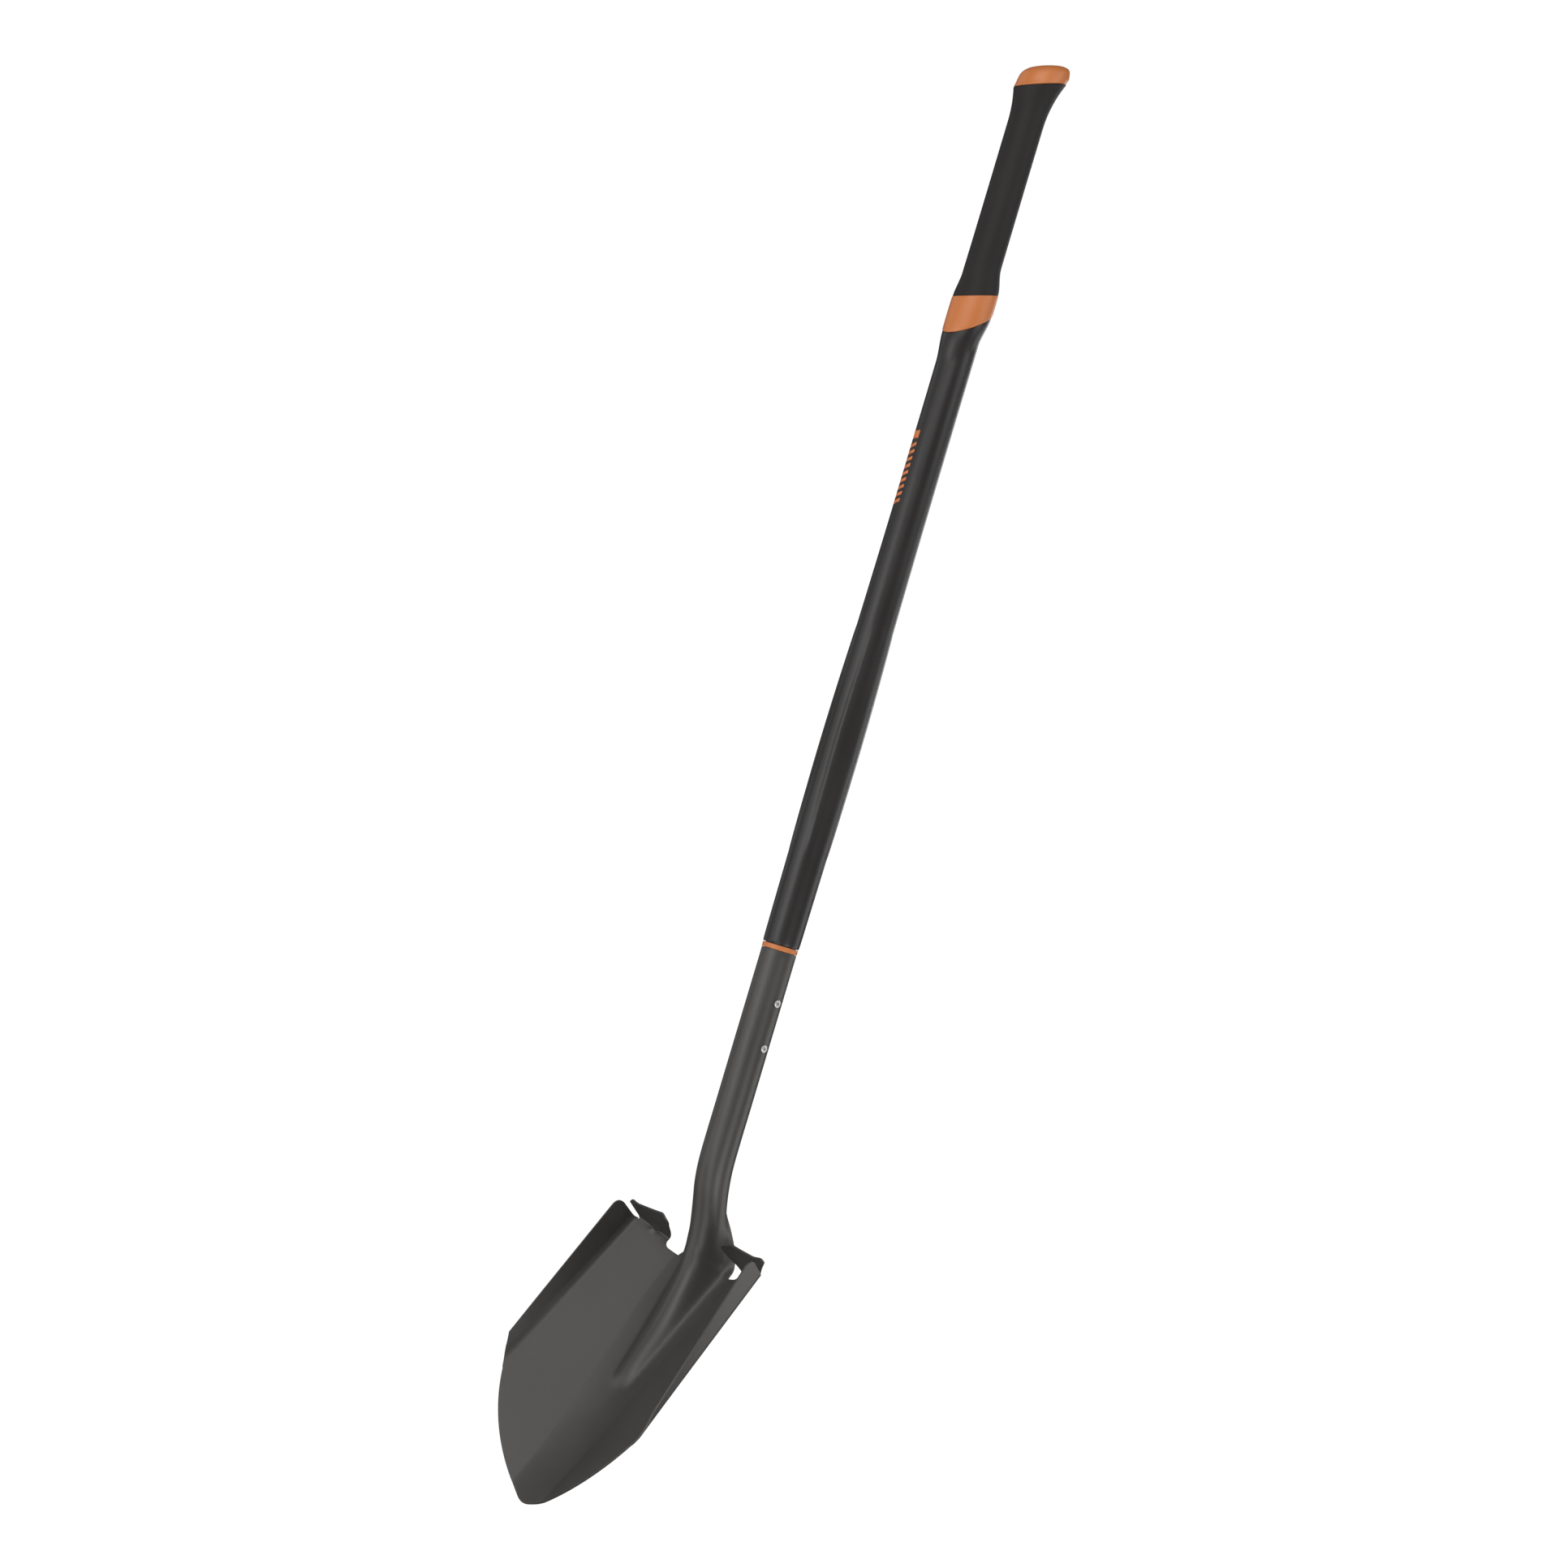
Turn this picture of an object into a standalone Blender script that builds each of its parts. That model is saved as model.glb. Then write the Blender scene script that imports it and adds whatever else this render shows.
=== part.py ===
"""Long-handled round-point shovel, built as its separate pieces.

The shaft's axis is vertical, +Z up, the hollow side of the blade faces -Y and +X is its right side.
The origin is on the axis in the middle of the grip, where a hand holds the shovel up. Every piece is
parented to one empty at the centre of the collar ring under the shaft, and the sizes below are
measured from that ring: the shaft is above zero and the socket and the blade are below it.
"""
import math

import bpy
from mathutils import Vector

MM = 0.001

# ---- placing: the collar ring below the origin
RING_X, RING_Y, RING_Z = 0.0, 0.0, -760.0 * MM

# ---- fits
GAP = 0.3 * MM                      # clearance between pieces that touch

# ---- blade: a sheet pressed in a frame of its own, which leans back from the shaft by LIFT
SHEET = 1.8 * MM
LIFT = math.radians(34.7)
BLADE_Y, BLADE_Z = 6.4 * MM, -298.5 * MM   # middle of the line between the two top corners
BLADE_LONG = 285.6 * MM             # from that line to the tip
FOLD_HALF = 89.9 * MM               # half width at the side folds, at the top
FOLD_FLARE = 0.0459                 # and how fast it widens downwards
FACET_SLOPE = 0.5486                # the two facets of the dish fall this steeply to the middle
DISH_ROUND = 34.0 * MM              # half width of the rounded bottom of the dish
TIP_LIFT = 5.5 * MM                 # the last part curls forward by this much
TIP_LIFT_START = 232.0 * MM
POINT_RADIUS = 178.5 * MM           # each side of the point is an arc
POINT_CENTRE_X = -67.0 * MM
POINT_CENTRE_S = 122.5 * MM
POINT_NOSE = 26.0 * MM              # and the nose between them a smaller one

# ---- side walls, folded forward along both sides
WALL_HIGH_TOP = 30.0 * MM
WALL_TAPER = 0.105                  # height lost per length down the blade
WALL_OUT_TOP = 2.8 * MM             # how far the free edge leans outwards
WALL_OUT_GROW = 0.018
WALL_CORNER = 10.0 * MM
WALL_START = 2.6 * MM               # the slit that parts a wall from its tread
WALL_END_FOLD = 188.0 * MM
WALL_END_EDGE = 170.0 * MM
FOLD_BEND = 5.0 * MM                # length of sheet on each side of a fold that its bend takes

# ---- treads, folded forward at the top of the facets
TREAD_IN, TREAD_OUT = 52.0 * MM, 85.5 * MM        # ends of the fold
TREAD_EDGE_IN, TREAD_EDGE_OUT = 38.0 * MM, 96.0 * MM   # ends of the free edge
TREAD_EDGE = [(38.0, 15.2), (44.0, 13.4), (52.0, 12.4), (62.0, 12.8), (75.0, 14.0), (86.0, 15.2),
              (96.0, 16.6)]         # free edge above the line of the side folds
TREAD_LEAN = 0.20                   # the flap leans up the blade by this slope
TREAD_INNER_DROP = 6.6 * MM         # its inner end is bent down square to the facet
TREAD_OUTER_LIFT = 2.6 * MM         # and the tip of its outer end up
TREAD_BEND = 2.6 * MM               # sheet on each side of the fold that its bend takes
TREAD_CORNER_IN, TREAD_CORNER_OUT = 6.0 * MM, 5.0 * MM
NOTCH_LOW = 9.0 * MM                # the sheet's edge between tread and socket
NOTCH_WIDE = 6.0 * MM

# ---- frog: the ridge that carries the socket on into the dish, as (down the blade, out from it)
FROG_CREST = [(9.0, 1.5), (21.0, -7.1), (32.0, -12.6), (45.0, -17.6), (60.0, -22.8), (80.0, -28.2),
              (105.0, -32.4), (125.0, -35.8), (141.0, -39.8), (154.0, -43.6)]
FROG_HALF = [(9.0, 28.0), (50.0, 24.5), (90.0, 21.0), (116.0, 17.5), (137.0, 11.5), (154.0, 7.0)]
FROG_ROUND = [(9.0, 17.0), (50.0, 14.0), (90.0, 12.0), (137.0, 8.0), (154.0, 8.0)]
FROG_END = 154.0 * MM

# ---- socket: the strap above the blade, rolled into a tube with its seam at the back
SOCKET_R = 17.3 * MM
SOCKET_TOP = -5.4 * MM
# Stations down the rolled strap. Each is (crest y, crest z, lean of the section in degrees, half
# width, depth of the widest place, edge half width, edge depth, heading of the edge in degrees).
STRAP = [
    (-17.3, -5.4, 0.0, 17.3, 17.3, 0.3, 34.6, 180.0),
    (-17.3, -52.0, 0.0, 17.3, 17.3, 0.3, 34.6, 180.0),
    (-17.3, -102.0, 0.0, 17.3, 17.3, 0.3, 34.6, 180.0),
    (-17.3, -160.0, 0.0, 17.3, 17.3, 0.3, 34.6, 180.0),
    (-17.3, -205.0, 0.0, 17.3, 17.3, 0.3, 34.6, 180.0),
    (-16.5, -224.0, 1.0, 17.3, 17.3, 0.4, 34.8, 178.0),
    (-13.6, -242.0, 4.0, 17.3, 17.4, 1.2, 35.8, 165.0),
    (-9.0, -257.5, 9.0, 17.4, 17.6, 5.5, 37.8, 130.0),
    (-4.9, -271.5, 14.0, 17.6, 18.0, 15.5, 39.4, 95.0),
    (-2.2, -284.0, 20.0, 17.8, 18.0, 25.5, 39.6, 60.0),
    (-0.6, -295.5, 27.0, 18.0, 17.0, 32.0, 37.5, 10.0),
]

# ---- shaft
BAND_LOW_Z, BAND_LOW_TILT = 626.0 * MM, math.radians(41.5)
BAND_TOP_Z, BAND_TOP_TILT = 654.2 * MM, math.radians(24.0)
CAP_Z, CAP_TILT = 865.3 * MM, math.radians(26.8)
CORE_R, CORE_BORE_R = 13.0 * MM, 9.5 * MM
CORE_LOW, CORE_TOP = -190.0 * MM, 846.0 * MM
JACKET_BORE_R = CORE_R + GAP
NECK_R = SOCKET_R - SHEET - GAP     # the jacket's reduced end inside the socket
NECK_LOW = -188.0 * MM
RING_R, RING_HIGH = 17.6 * MM, 4.8 * MM
SHAFT_RADII = [(0.3, 17.7), (3.0, 18.1), (28.0, 18.4), (53.0, 18.6), (102.0, 19.0), (151.0, 19.2),
               (200.0, 19.3), (249.0, 19.0), (298.0, 18.4), (347.0, 18.0), (395.0, 17.7),
               (445.0, 17.55), (543.0, 17.5), (592.0, 17.6)]
SWELL_LOW, SWELL_TOP = 92.0 * MM, 318.0 * MM
SWELL_RISE = 1.1 * MM               # raised palm panel round the back of the swell
GRIP_RADII = [(679.0, 17.6), (700.0, 17.45), (760.0, 17.35), (829.0, 17.4)]
BAND_R = 21.5 * MM
BAND_OFF = 1.4 * MM                 # the hand stop stands out more at the back
BAND_FOOT = 30.0 * MM               # length below it over which the jacket swells to meet it
BAND_HEAD = 25.0 * MM               # and above it over which the grip narrows again
POMMEL_FLARE_START, POMMEL_FLARE_R = 826.0 * MM, 130.0 * MM

# ---- pommel cap: slanted sections as (middle y, height on the axis, half width, half depth)
CAP_SECTIONS = [(3.7, 865.6, 23.3, 24.8), (5.6, 869.9, 23.8, 25.0), (5.7, 875.0, 23.1, 24.4),
                (5.7, 879.3, 21.9, 23.1), (5.3, 882.0, 19.6, 20.7), (4.4, 884.3, 15.0, 16.0),
                (3.6, 885.4, 9.0, 9.8), (3.2, 885.8, 3.5, 3.8)]
SPIGOT_R = CORE_BORE_R - GAP
SPIGOT_LOW = 822.0 * MM

# ---- blind rivets through both sides of the socket
RIVET_Z = {"upper": -54.8 * MM, "lower": -99.8 * MM}
RIVET_HEAD_R, RIVET_HEAD_HIGH = 4.0 * MM, 1.5 * MM
RIVET_SHANK_R, RIVET_BORE_R = 2.0 * MM, 1.2 * MM
RIVET_HOLE_R = RIVET_SHANK_R + GAP
RIVET_BULB_R, RIVET_BULB_LONG = 2.9 * MM, 3.6 * MM
STEM_R, STEM_HEAD_R = 0.9 * MM, 1.9 * MM

ROUND = 32                          # sides of the round pieces
BLADE_ROWS = 18

DOWN = Vector((0.0, -math.sin(LIFT), -math.cos(LIFT)))
FRONT = Vector((0.0, -math.cos(LIFT), math.sin(LIFT)))
BLADE_AT = Vector((0.0, BLADE_Y, BLADE_Z))

# name: (colour, roughness, metallic)
FINISHES = {
    "powder_coat": ((0.075, 0.073, 0.070), 0.42, 0.0),
    "jacket_black": ((0.045, 0.043, 0.043), 0.45, 0.0),
    "grip_black": ((0.030, 0.029, 0.029), 0.70, 0.0),
    "orange": ((0.62, 0.26, 0.10), 0.45, 0.0),
    "fibreglass": ((0.55, 0.50, 0.36), 0.55, 0.0),
    "rivet_grey": ((0.60, 0.58, 0.55), 0.38, 0.9),
    "stem_grey": ((0.30, 0.30, 0.31), 0.40, 0.9),
}


# ---------------------------------------------------------------- helpers

def clear_scene():
    for obj in list(bpy.data.objects):
        bpy.data.objects.remove(obj, do_unlink=True)


def finish(name):
    material = bpy.data.materials.get(name)
    if material:
        return material
    colour, roughness, metallic = FINISHES[name]
    material = bpy.data.materials.new(name)
    material.use_nodes = True
    shader = material.node_tree.nodes["Principled BSDF"]
    shader.inputs["Base Color"].default_value = (*colour, 1.0)
    shader.inputs["Roughness"].default_value = roughness
    shader.inputs["Metallic"].default_value = metallic
    return material


def add_object(name, points, faces, material, parent, sharp=32.0):
    mesh = bpy.data.meshes.new(name)
    mesh.from_pydata([tuple(p) for p in points], [], faces)
    mesh.validate()
    mesh.shade_smooth()
    mesh.set_sharp_from_angle(angle=math.radians(sharp))
    obj = bpy.data.objects.new(name, mesh)
    mesh.materials.append(finish(material))
    bpy.context.scene.collection.objects.link(obj)
    obj.parent = parent
    return obj


def smooth_step(t):
    t = min(max(t, 0.0), 1.0)
    return t * t * (3.0 - 2.0 * t)


def along(points, at):
    """Value at a place on a smooth curve through (place, value) points, both in millimetres."""
    at /= MM
    if at <= points[0][0]:
        return points[0][1] * MM
    if at >= points[-1][0]:
        return points[-1][1] * MM
    i = max(k for k in range(len(points) - 1) if points[k][0] <= at)

    def slope(k):
        a, b = points[max(k - 1, 0)], points[min(k + 1, len(points) - 1)]
        return (b[1] - a[1]) / (b[0] - a[0])

    (x0, y0), (x1, y1) = points[i], points[i + 1]
    w = x1 - x0
    t = (at - x0) / w
    value = ((2 * t**3 - 3 * t**2 + 1) * y0 + (t**3 - 2 * t**2 + t) * w * slope(i)
             + (3 * t**2 - 2 * t**3) * y1 + (t**3 - t**2) * w * slope(i + 1))
    return value * MM


def loft(name, rings, material, parent, closed=False, sharp=32.0):
    """Skin a row of equal rings. The ends are filled, or joined to each other when closed."""
    n = len(rings[0])
    points = [p for ring in rings for p in ring]
    faces = []
    last = len(rings) if closed else len(rings) - 1
    for r in range(last):
        a, b = r * n, ((r + 1) % len(rings)) * n
        for i in range(n):
            j = (i + 1) % n
            faces.append((a + i, a + j, b + j, b + i))
    if not closed:
        faces.append(tuple(reversed(range(n))))
        faces.append(tuple(range((len(rings) - 1) * n, len(rings) * n)))
    return add_object(name, points, faces, material, parent, sharp)


def ring_at(z, radius, tilt=0.0, middle_y=0.0, half_depth=None, sides=ROUND):
    """Ring round the shaft's axis on a plane that rises to the back by tilt."""
    depth = radius if half_depth is None else half_depth
    ring = []
    for k in range(sides):
        turn = 2.0 * math.pi * k / sides
        x, y = radius * math.sin(turn), middle_y - depth * math.cos(turn)
        ring.append(Vector((x, y, z + math.tan(tilt) * y)))
    return ring


def shaped_ring(z, tilt, shape_at, sides=ROUND):
    """Ring on a slanted plane whose radius and middle depend on its height and direction."""
    ring = []
    for k in range(sides):
        turn = 2.0 * math.pi * k / sides
        high, x, y = z, 0.0, 0.0
        for _ in range(6):
            radius, middle = shape_at(high, turn)
            x, y = radius * math.sin(turn), middle - radius * math.cos(turn)
            high = z + math.tan(tilt) * y
        ring.append(Vector((x, y, high)))
    return ring


def cut(obj, cutter):
    modifier = obj.modifiers.new("cut_" + cutter.name, "BOOLEAN")
    modifier.operation = "DIFFERENCE"
    modifier.solver = "EXACT"
    modifier.object = cutter


# ---------------------------------------------------------------- blade

def blade_point(x, s, h):
    return BLADE_AT + Vector((x, 0.0, 0.0)) + DOWN * s + FRONT * h


def half_width(s):
    return FOLD_HALF + FOLD_FLARE * s


def outline_end(x):
    """How far down the blade its edge lies, x from the middle."""
    side = POINT_RADIUS - POINT_NOSE
    if abs(x) < -POINT_CENTRE_X * POINT_NOSE / side:
        middle = POINT_CENTRE_S + math.sqrt(side**2 - POINT_CENTRE_X**2)
        return middle + math.sqrt(POINT_NOSE**2 - x * x)
    return POINT_CENTRE_S + math.sqrt(POINT_RADIUS**2 - (abs(x) - POINT_CENTRE_X)**2)


def dish(x, s):
    """Height of the dish over the plane of the two side folds: two facets and a rounded valley."""
    x = abs(x)
    if x < DISH_ROUND:
        x = (x * x + DISH_ROUND**2) / (2.0 * DISH_ROUND)
    lift = TIP_LIFT * smooth_step((s - TIP_LIFT_START) / (BLADE_LONG - TIP_LIFT_START))
    return lift - FACET_SLOPE * (half_width(s) - x)


def frog(x, s):
    """Height of the ridge over the dish."""
    half = along(FROG_HALF, s)
    t = abs(x) / half
    rise = along(FROG_CREST, s) - dish(0.0, s)
    if t >= 1.0 or rise <= 0.0 or s >= FROG_END:
        return 0.0
    rise *= smooth_step((FROG_END - s) / (12.0 * MM))
    crown = min(half**2 / (2.0 * along(FROG_ROUND, s) * max(rise, MM)), 2.2)
    return rise * ((1.0 - t**3)**2 - crown * t * t * (1.0 - t)**2)


def plate(x, s):
    return dish(x, s) + frog(x, s)


def wall_high(s):
    return WALL_HIGH_TOP - WALL_TAPER * s


def wall_point(high, s):
    share = high / wall_high(s)
    return half_width(s) + share * (WALL_OUT_TOP + WALL_OUT_GROW * s), high


def bend(s, share):
    """Bent strip at a side fold: a quadratic curve from the facet to the wall."""
    x0 = half_width(s) - FOLD_BEND
    h0 = plate(x0, s)
    x1, h1 = half_width(s), 0.0
    x2, h2 = wall_point(FOLD_BEND, s)
    a, b, c = (1 - share)**2, 2 * share * (1 - share), share**2
    return a * x0 + b * x1 + c * x2, a * h0 + b * h1 + c * h2


class Column:
    """One line down the blade: on the plate, in the bend at the fold, or up the wall."""

    def __init__(self, kind, place):
        self.kind, self.place = kind, place

    def section(self, s):
        if self.kind == "plate":
            x = self.place / FOLD_HALF * half_width(s)
            return x, plate(x, s)
        if self.kind == "bend":
            return bend(s, self.place)
        rest = wall_high(s) - FOLD_BEND
        return wall_point(FOLD_BEND + self.place * rest, s)

    def top(self):
        if self.kind == "plate":
            if self.place <= TREAD_IN - NOTCH_WIDE:
                return NOTCH_LOW
            if self.place < TREAD_IN:
                t = (TREAD_IN - self.place) / NOTCH_WIDE
                rest = NOTCH_LOW - TREAD_BEND
                return TREAD_BEND + rest * math.sqrt(max(1.0 - (1.0 - t)**2, 0.0))
            return TREAD_BEND
        if self.kind == "bend":
            return WALL_START * min(1.0, 0.5 + self.place)
        rest = wall_high(0.0) - FOLD_BEND
        over = max(self.place * rest - (rest - WALL_CORNER), 0.0)
        return WALL_START + WALL_CORNER - math.sqrt(WALL_CORNER**2 - over**2)

    def bottom(self):
        if self.kind == "plate":
            s = WALL_END_FOLD
            for _ in range(30):
                s = outline_end(self.place / FOLD_HALF * half_width(s))
            share = self.place / FOLD_HALF
            return min(s, BLADE_LONG) if share < 0.9 else s
        if self.kind == "bend":
            edge = Column("plate", FOLD_HALF - FOLD_BEND).bottom()
            return edge + (WALL_END_FOLD - 6.0 * MM - edge) * self.place
        return WALL_END_FOLD - 6.0 * MM + (WALL_END_EDGE - WALL_END_FOLD + 6.0 * MM) * self.place

    def point(self, side, share):
        s = self.top() + (self.bottom() - self.top()) * share
        x, h = self.section(s)
        return blade_point(side * x, s, h)


STRAP_PLACES = [0.0, 3.5, 7.0, 10.5, 13.5, 16.0, 18.5, 21.5, 25.5, 30.0, 35.0]
NOTCH_PLACES = [41.0, 46.0, 49.5, 51.3]
TREAD_PLACES = [52.0, 54.5, 58.0, 66.0, 74.0, 80.5, 84.9]
BEND_PLACES = [0.25, 0.5, 0.75, 1.0]
WALL_PLACES = [0.3, 0.6, 0.75, 0.88, 0.96, 1.0]


def blade_columns():
    columns = [Column("plate", p * MM) for p in STRAP_PLACES + NOTCH_PLACES + TREAD_PLACES]
    columns += [Column("bend", p) for p in BEND_PLACES]
    columns += [Column("wall", p) for p in WALL_PLACES]
    return columns


def cubic(p0, p1, p2, p3, t):
    u = 1.0 - t
    return tuple(u**3 * a + 3 * u * u * t * b + 3 * u * t * t * c + t**3 * d
                 for a, b, c, d in zip(p0, p1, p2, p3))


def strap_section(half, widest, edge_x, edge_depth, heading, share):
    """Half of a rolled section: crest to the widest place, then round to the strap's edge."""
    k = 0.5523
    if share <= 0.5:
        return cubic((0.0, 0.0), (half * k, 0.0), (half, widest * (1 - k)), (half, widest),
                     share * 2.0)
    turn = math.radians(heading)
    reach = 0.5523 * max(edge_depth - widest, 8.0 * MM)
    return cubic((half, widest), (half, widest + reach),
                 (edge_x - math.cos(turn) * reach, edge_depth - math.sin(turn) * reach),
                 (edge_x, edge_depth), share * 2.0 - 1.0)


def strap_rows(side):
    rows = []
    last = len(STRAP_PLACES) - 1
    for y, z, lean, half, widest, edge_x, edge_depth, heading in STRAP:
        back = Vector((0.0, math.cos(math.radians(lean)), -math.sin(math.radians(lean))))
        row = []
        for k in range(last + 1):
            x, depth = strap_section(half * MM, widest * MM, edge_x * MM, edge_depth * MM,
                                     heading, k / last)
            row.append(Vector((side * x, y * MM, z * MM)) + back * depth)
        rows.append(row)
    return rows


def tread_point(x, high, side):
    """Point of the flap, high above the facet's line at the fold. It is flat between its ends."""
    s = -TREAD_LEAN * high
    s += TREAD_INNER_DROP * smooth_step((TREAD_IN - x) / (15.0 * MM))
    s -= TREAD_OUTER_LIFT * smooth_step((x - 80.0 * MM) / (15.0 * MM)) * min(high / (14.0 * MM), 1.0)
    return blade_point(side * x, s, -FACET_SLOPE * (FOLD_HALF - x) + high)


def tread_top(x):
    """Height of the free edge over the side folds, with its two rounded corners."""
    near = min((x - TREAD_EDGE_IN) / TREAD_CORNER_IN, 1.0)
    far = min((TREAD_EDGE_OUT - x) / TREAD_CORNER_OUT, 1.0)
    low_in = TREAD_CORNER_IN * (1.0 - math.sqrt(max(1.0 - (1.0 - near)**2, 0.0)))
    low_out = TREAD_CORNER_OUT * (1.0 - math.sqrt(max(1.0 - (1.0 - far)**2, 0.0)))
    return along(TREAD_EDGE, x) - low_in - low_out


def tread_rows(side):
    """Rows of the flap from the facet, round its bend, to its free edge."""
    first = len(STRAP_PLACES) + len(NOTCH_PLACES)
    columns = blade_columns()[first:first + len(TREAD_PLACES)]
    bent, middle, edge = [], [], []
    for column in columns:
        x0 = column.place
        t = (x0 - TREAD_IN) / (TREAD_OUT - TREAD_IN)
        x1 = TREAD_EDGE_IN + (TREAD_EDGE_OUT - TREAD_EDGE_IN) * t
        high = tread_top(x1) + FACET_SLOPE * (FOLD_HALF - x1)
        start = column.point(side, 0.0)
        corner = tread_point(x0, 0.0, side)
        xb = x0 + (x1 - x0) * TREAD_BEND / high
        flap = tread_point(xb, TREAD_BEND, side)
        bent.append([start * 0.25 + corner * 0.5 + flap * 0.25, flap])
        middle.append(tread_point((xb + x1) / 2.0, (TREAD_BEND + high) / 2.0, side))
        edge.append(tread_point(x1, high, side))
    return [[pair[0] for pair in bent], [pair[1] for pair in bent], middle, edge]


def build_blade(parent):
    columns = blade_columns()
    points, index = [], {}

    def vertex(key, p):
        if key not in index:
            index[key] = len(points)
            points.append(p)
        return index[key]

    def strip(rows):
        return [(rows[r][c], rows[r][c + 1], rows[r + 1][c + 1], rows[r + 1][c])
                for r in range(len(rows) - 1) for c in range(len(rows[0]) - 1)]

    faces = []
    for side in (-1, 1):
        grid = [[vertex(("plate", side if c else 0, c, r), column.point(side, r / BLADE_ROWS))
                 for c, column in enumerate(columns)] for r in range(BLADE_ROWS + 1)]
        strap = [[vertex(("strap", side if c else 0, c, r), p) for c, p in enumerate(row)]
                 for r, row in enumerate(strap_rows(side))]
        strap.append(grid[0][:len(STRAP_PLACES)])
        first = len(STRAP_PLACES) + len(NOTCH_PLACES)
        tread = [grid[0][first:first + len(TREAD_PLACES)]]
        tread += [[vertex(("tread", side, c, r), p) for c, p in enumerate(row)]
                  for r, row in enumerate(tread_rows(side))]
        half = strip(grid) + strip(strap) + [f[::-1] for f in strip(tread)]
        faces += half if side < 0 else [f[::-1] for f in half]
    obj = add_object("blade", points, faces, "powder_coat", parent, sharp=40.0)
    solid = obj.modifiers.new("sheet", "SOLIDIFY")
    solid.thickness = SHEET
    solid.offset = -1.0
    solid.use_even_offset = True
    solid.use_quality_normals = True
    return obj


# ---------------------------------------------------------------- shaft pieces

def build_core_tube(parent):
    rings = [ring_at(CORE_LOW, CORE_R, sides=24), ring_at(CORE_TOP, CORE_R, sides=24),
             ring_at(CORE_TOP, CORE_BORE_R, sides=24), ring_at(CORE_LOW, CORE_BORE_R, sides=24)]
    return loft("core_tube", rings, "fibreglass", parent, closed=True)


def build_socket_ring(parent):
    top, low = -GAP, -GAP - RING_HIGH
    chamfer = 0.7 * MM
    bore = NECK_R + GAP
    rings = [ring_at(low, bore), ring_at(low, RING_R - chamfer), ring_at(low + chamfer, RING_R),
             ring_at(top - chamfer, RING_R), ring_at(top, RING_R - chamfer), ring_at(top, bore)]
    return loft("socket_ring", rings, "orange", parent, closed=True)


def shaft_shape(z, turn):
    """Radius and middle of the jacket: a palm swell with a raised panel, and a swollen top."""
    radius = along(SHAFT_RADII, z)
    foot = BAND_LOW_Z - math.tan(BAND_LOW_TILT) * BAND_R * math.cos(turn)
    near = smooth_step(1.0 - (foot - z) / BAND_FOOT)
    radius += (BAND_R - 0.6 * MM - radius) * near
    middle = (SWELL_LOW + SWELL_TOP) / 2.0
    span = (SWELL_TOP - SWELL_LOW) / 2.0
    ends = 1.0 - ((z - middle) / span)**2
    if ends > 0.0:
        edge = math.radians(34.0 - 10.0 * ends)
        away = abs(math.atan2(math.sin(turn), math.cos(turn)))
        panel = smooth_step((away - edge) / math.radians(14.0) + 0.5)
        radius += SWELL_RISE * panel * ends**0.6
    return radius, BAND_OFF * near


def build_shaft_sleeve(parent):
    heights = [GAP, 3.0 * MM, 28.0 * MM, 60.0 * MM, 92.0 * MM, 112.0 * MM, 140.0 * MM, 172.0 * MM,
               205.0 * MM, 238.0 * MM, 270.0 * MM, 298.0 * MM, 318.0 * MM, 350.0 * MM, 400.0 * MM,
               480.0 * MM, 560.0 * MM, 582.0 * MM]
    low_end = BAND_LOW_Z - GAP
    rings = [ring_at(NECK_LOW, JACKET_BORE_R), ring_at(NECK_LOW, NECK_R), ring_at(GAP, NECK_R)]
    rings += [shaped_ring(z, 0.0, shaft_shape) for z in heights]
    for share in (0.45, 0.6, 0.72, 0.84, 0.93, 1.0):
        z = 582.0 * MM + (low_end - 582.0 * MM) * share
        rings.append(shaped_ring(z, BAND_LOW_TILT * share**0.5, shaft_shape))
    rings.append(ring_at(low_end, JACKET_BORE_R, BAND_LOW_TILT))
    return loft("shaft_sleeve", rings, "jacket_black", parent, closed=True)


def build_hand_stop_band(parent):
    low, high = BAND_LOW_Z, BAND_TOP_Z - GAP
    low_slope, high_slope = math.tan(BAND_LOW_TILT), math.tan(BAND_TOP_TILT)
    rings = [ring_at(low, JACKET_BORE_R, BAND_LOW_TILT)]
    for share, inset in ((0.0, 0.6), (0.03, 0.1), (0.3, -0.1), (0.7, -0.1), (0.97, 0.0), (1.0, 0.4)):
        tilt = math.atan(low_slope + (high_slope - low_slope) * share)
        rings.append(ring_at(low + (high - low) * share, BAND_R - inset * MM, tilt, BAND_OFF))
    rings.append(ring_at(high, JACKET_BORE_R, BAND_TOP_TILT))
    return loft("hand_stop_band", rings, "orange", parent, closed=True)


def pommel_flare(z):
    over = max(z - POMMEL_FLARE_START, 0.0)
    return POMMEL_FLARE_R - math.sqrt(POMMEL_FLARE_R**2 - over**2)


def grip_shape(z, turn):
    """Radius and middle of the grip, which widens to the hand stop and to the pommel."""
    foot = BAND_TOP_Z - math.tan(BAND_TOP_TILT) * BAND_R * math.cos(turn)
    near = 1.0 - smooth_step((z - foot) / BAND_HEAD)
    radius = along(GRIP_RADII, z)
    radius += (BAND_R - 0.4 * MM - radius) * near + pommel_flare(z)
    return radius, BAND_OFF * near


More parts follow.
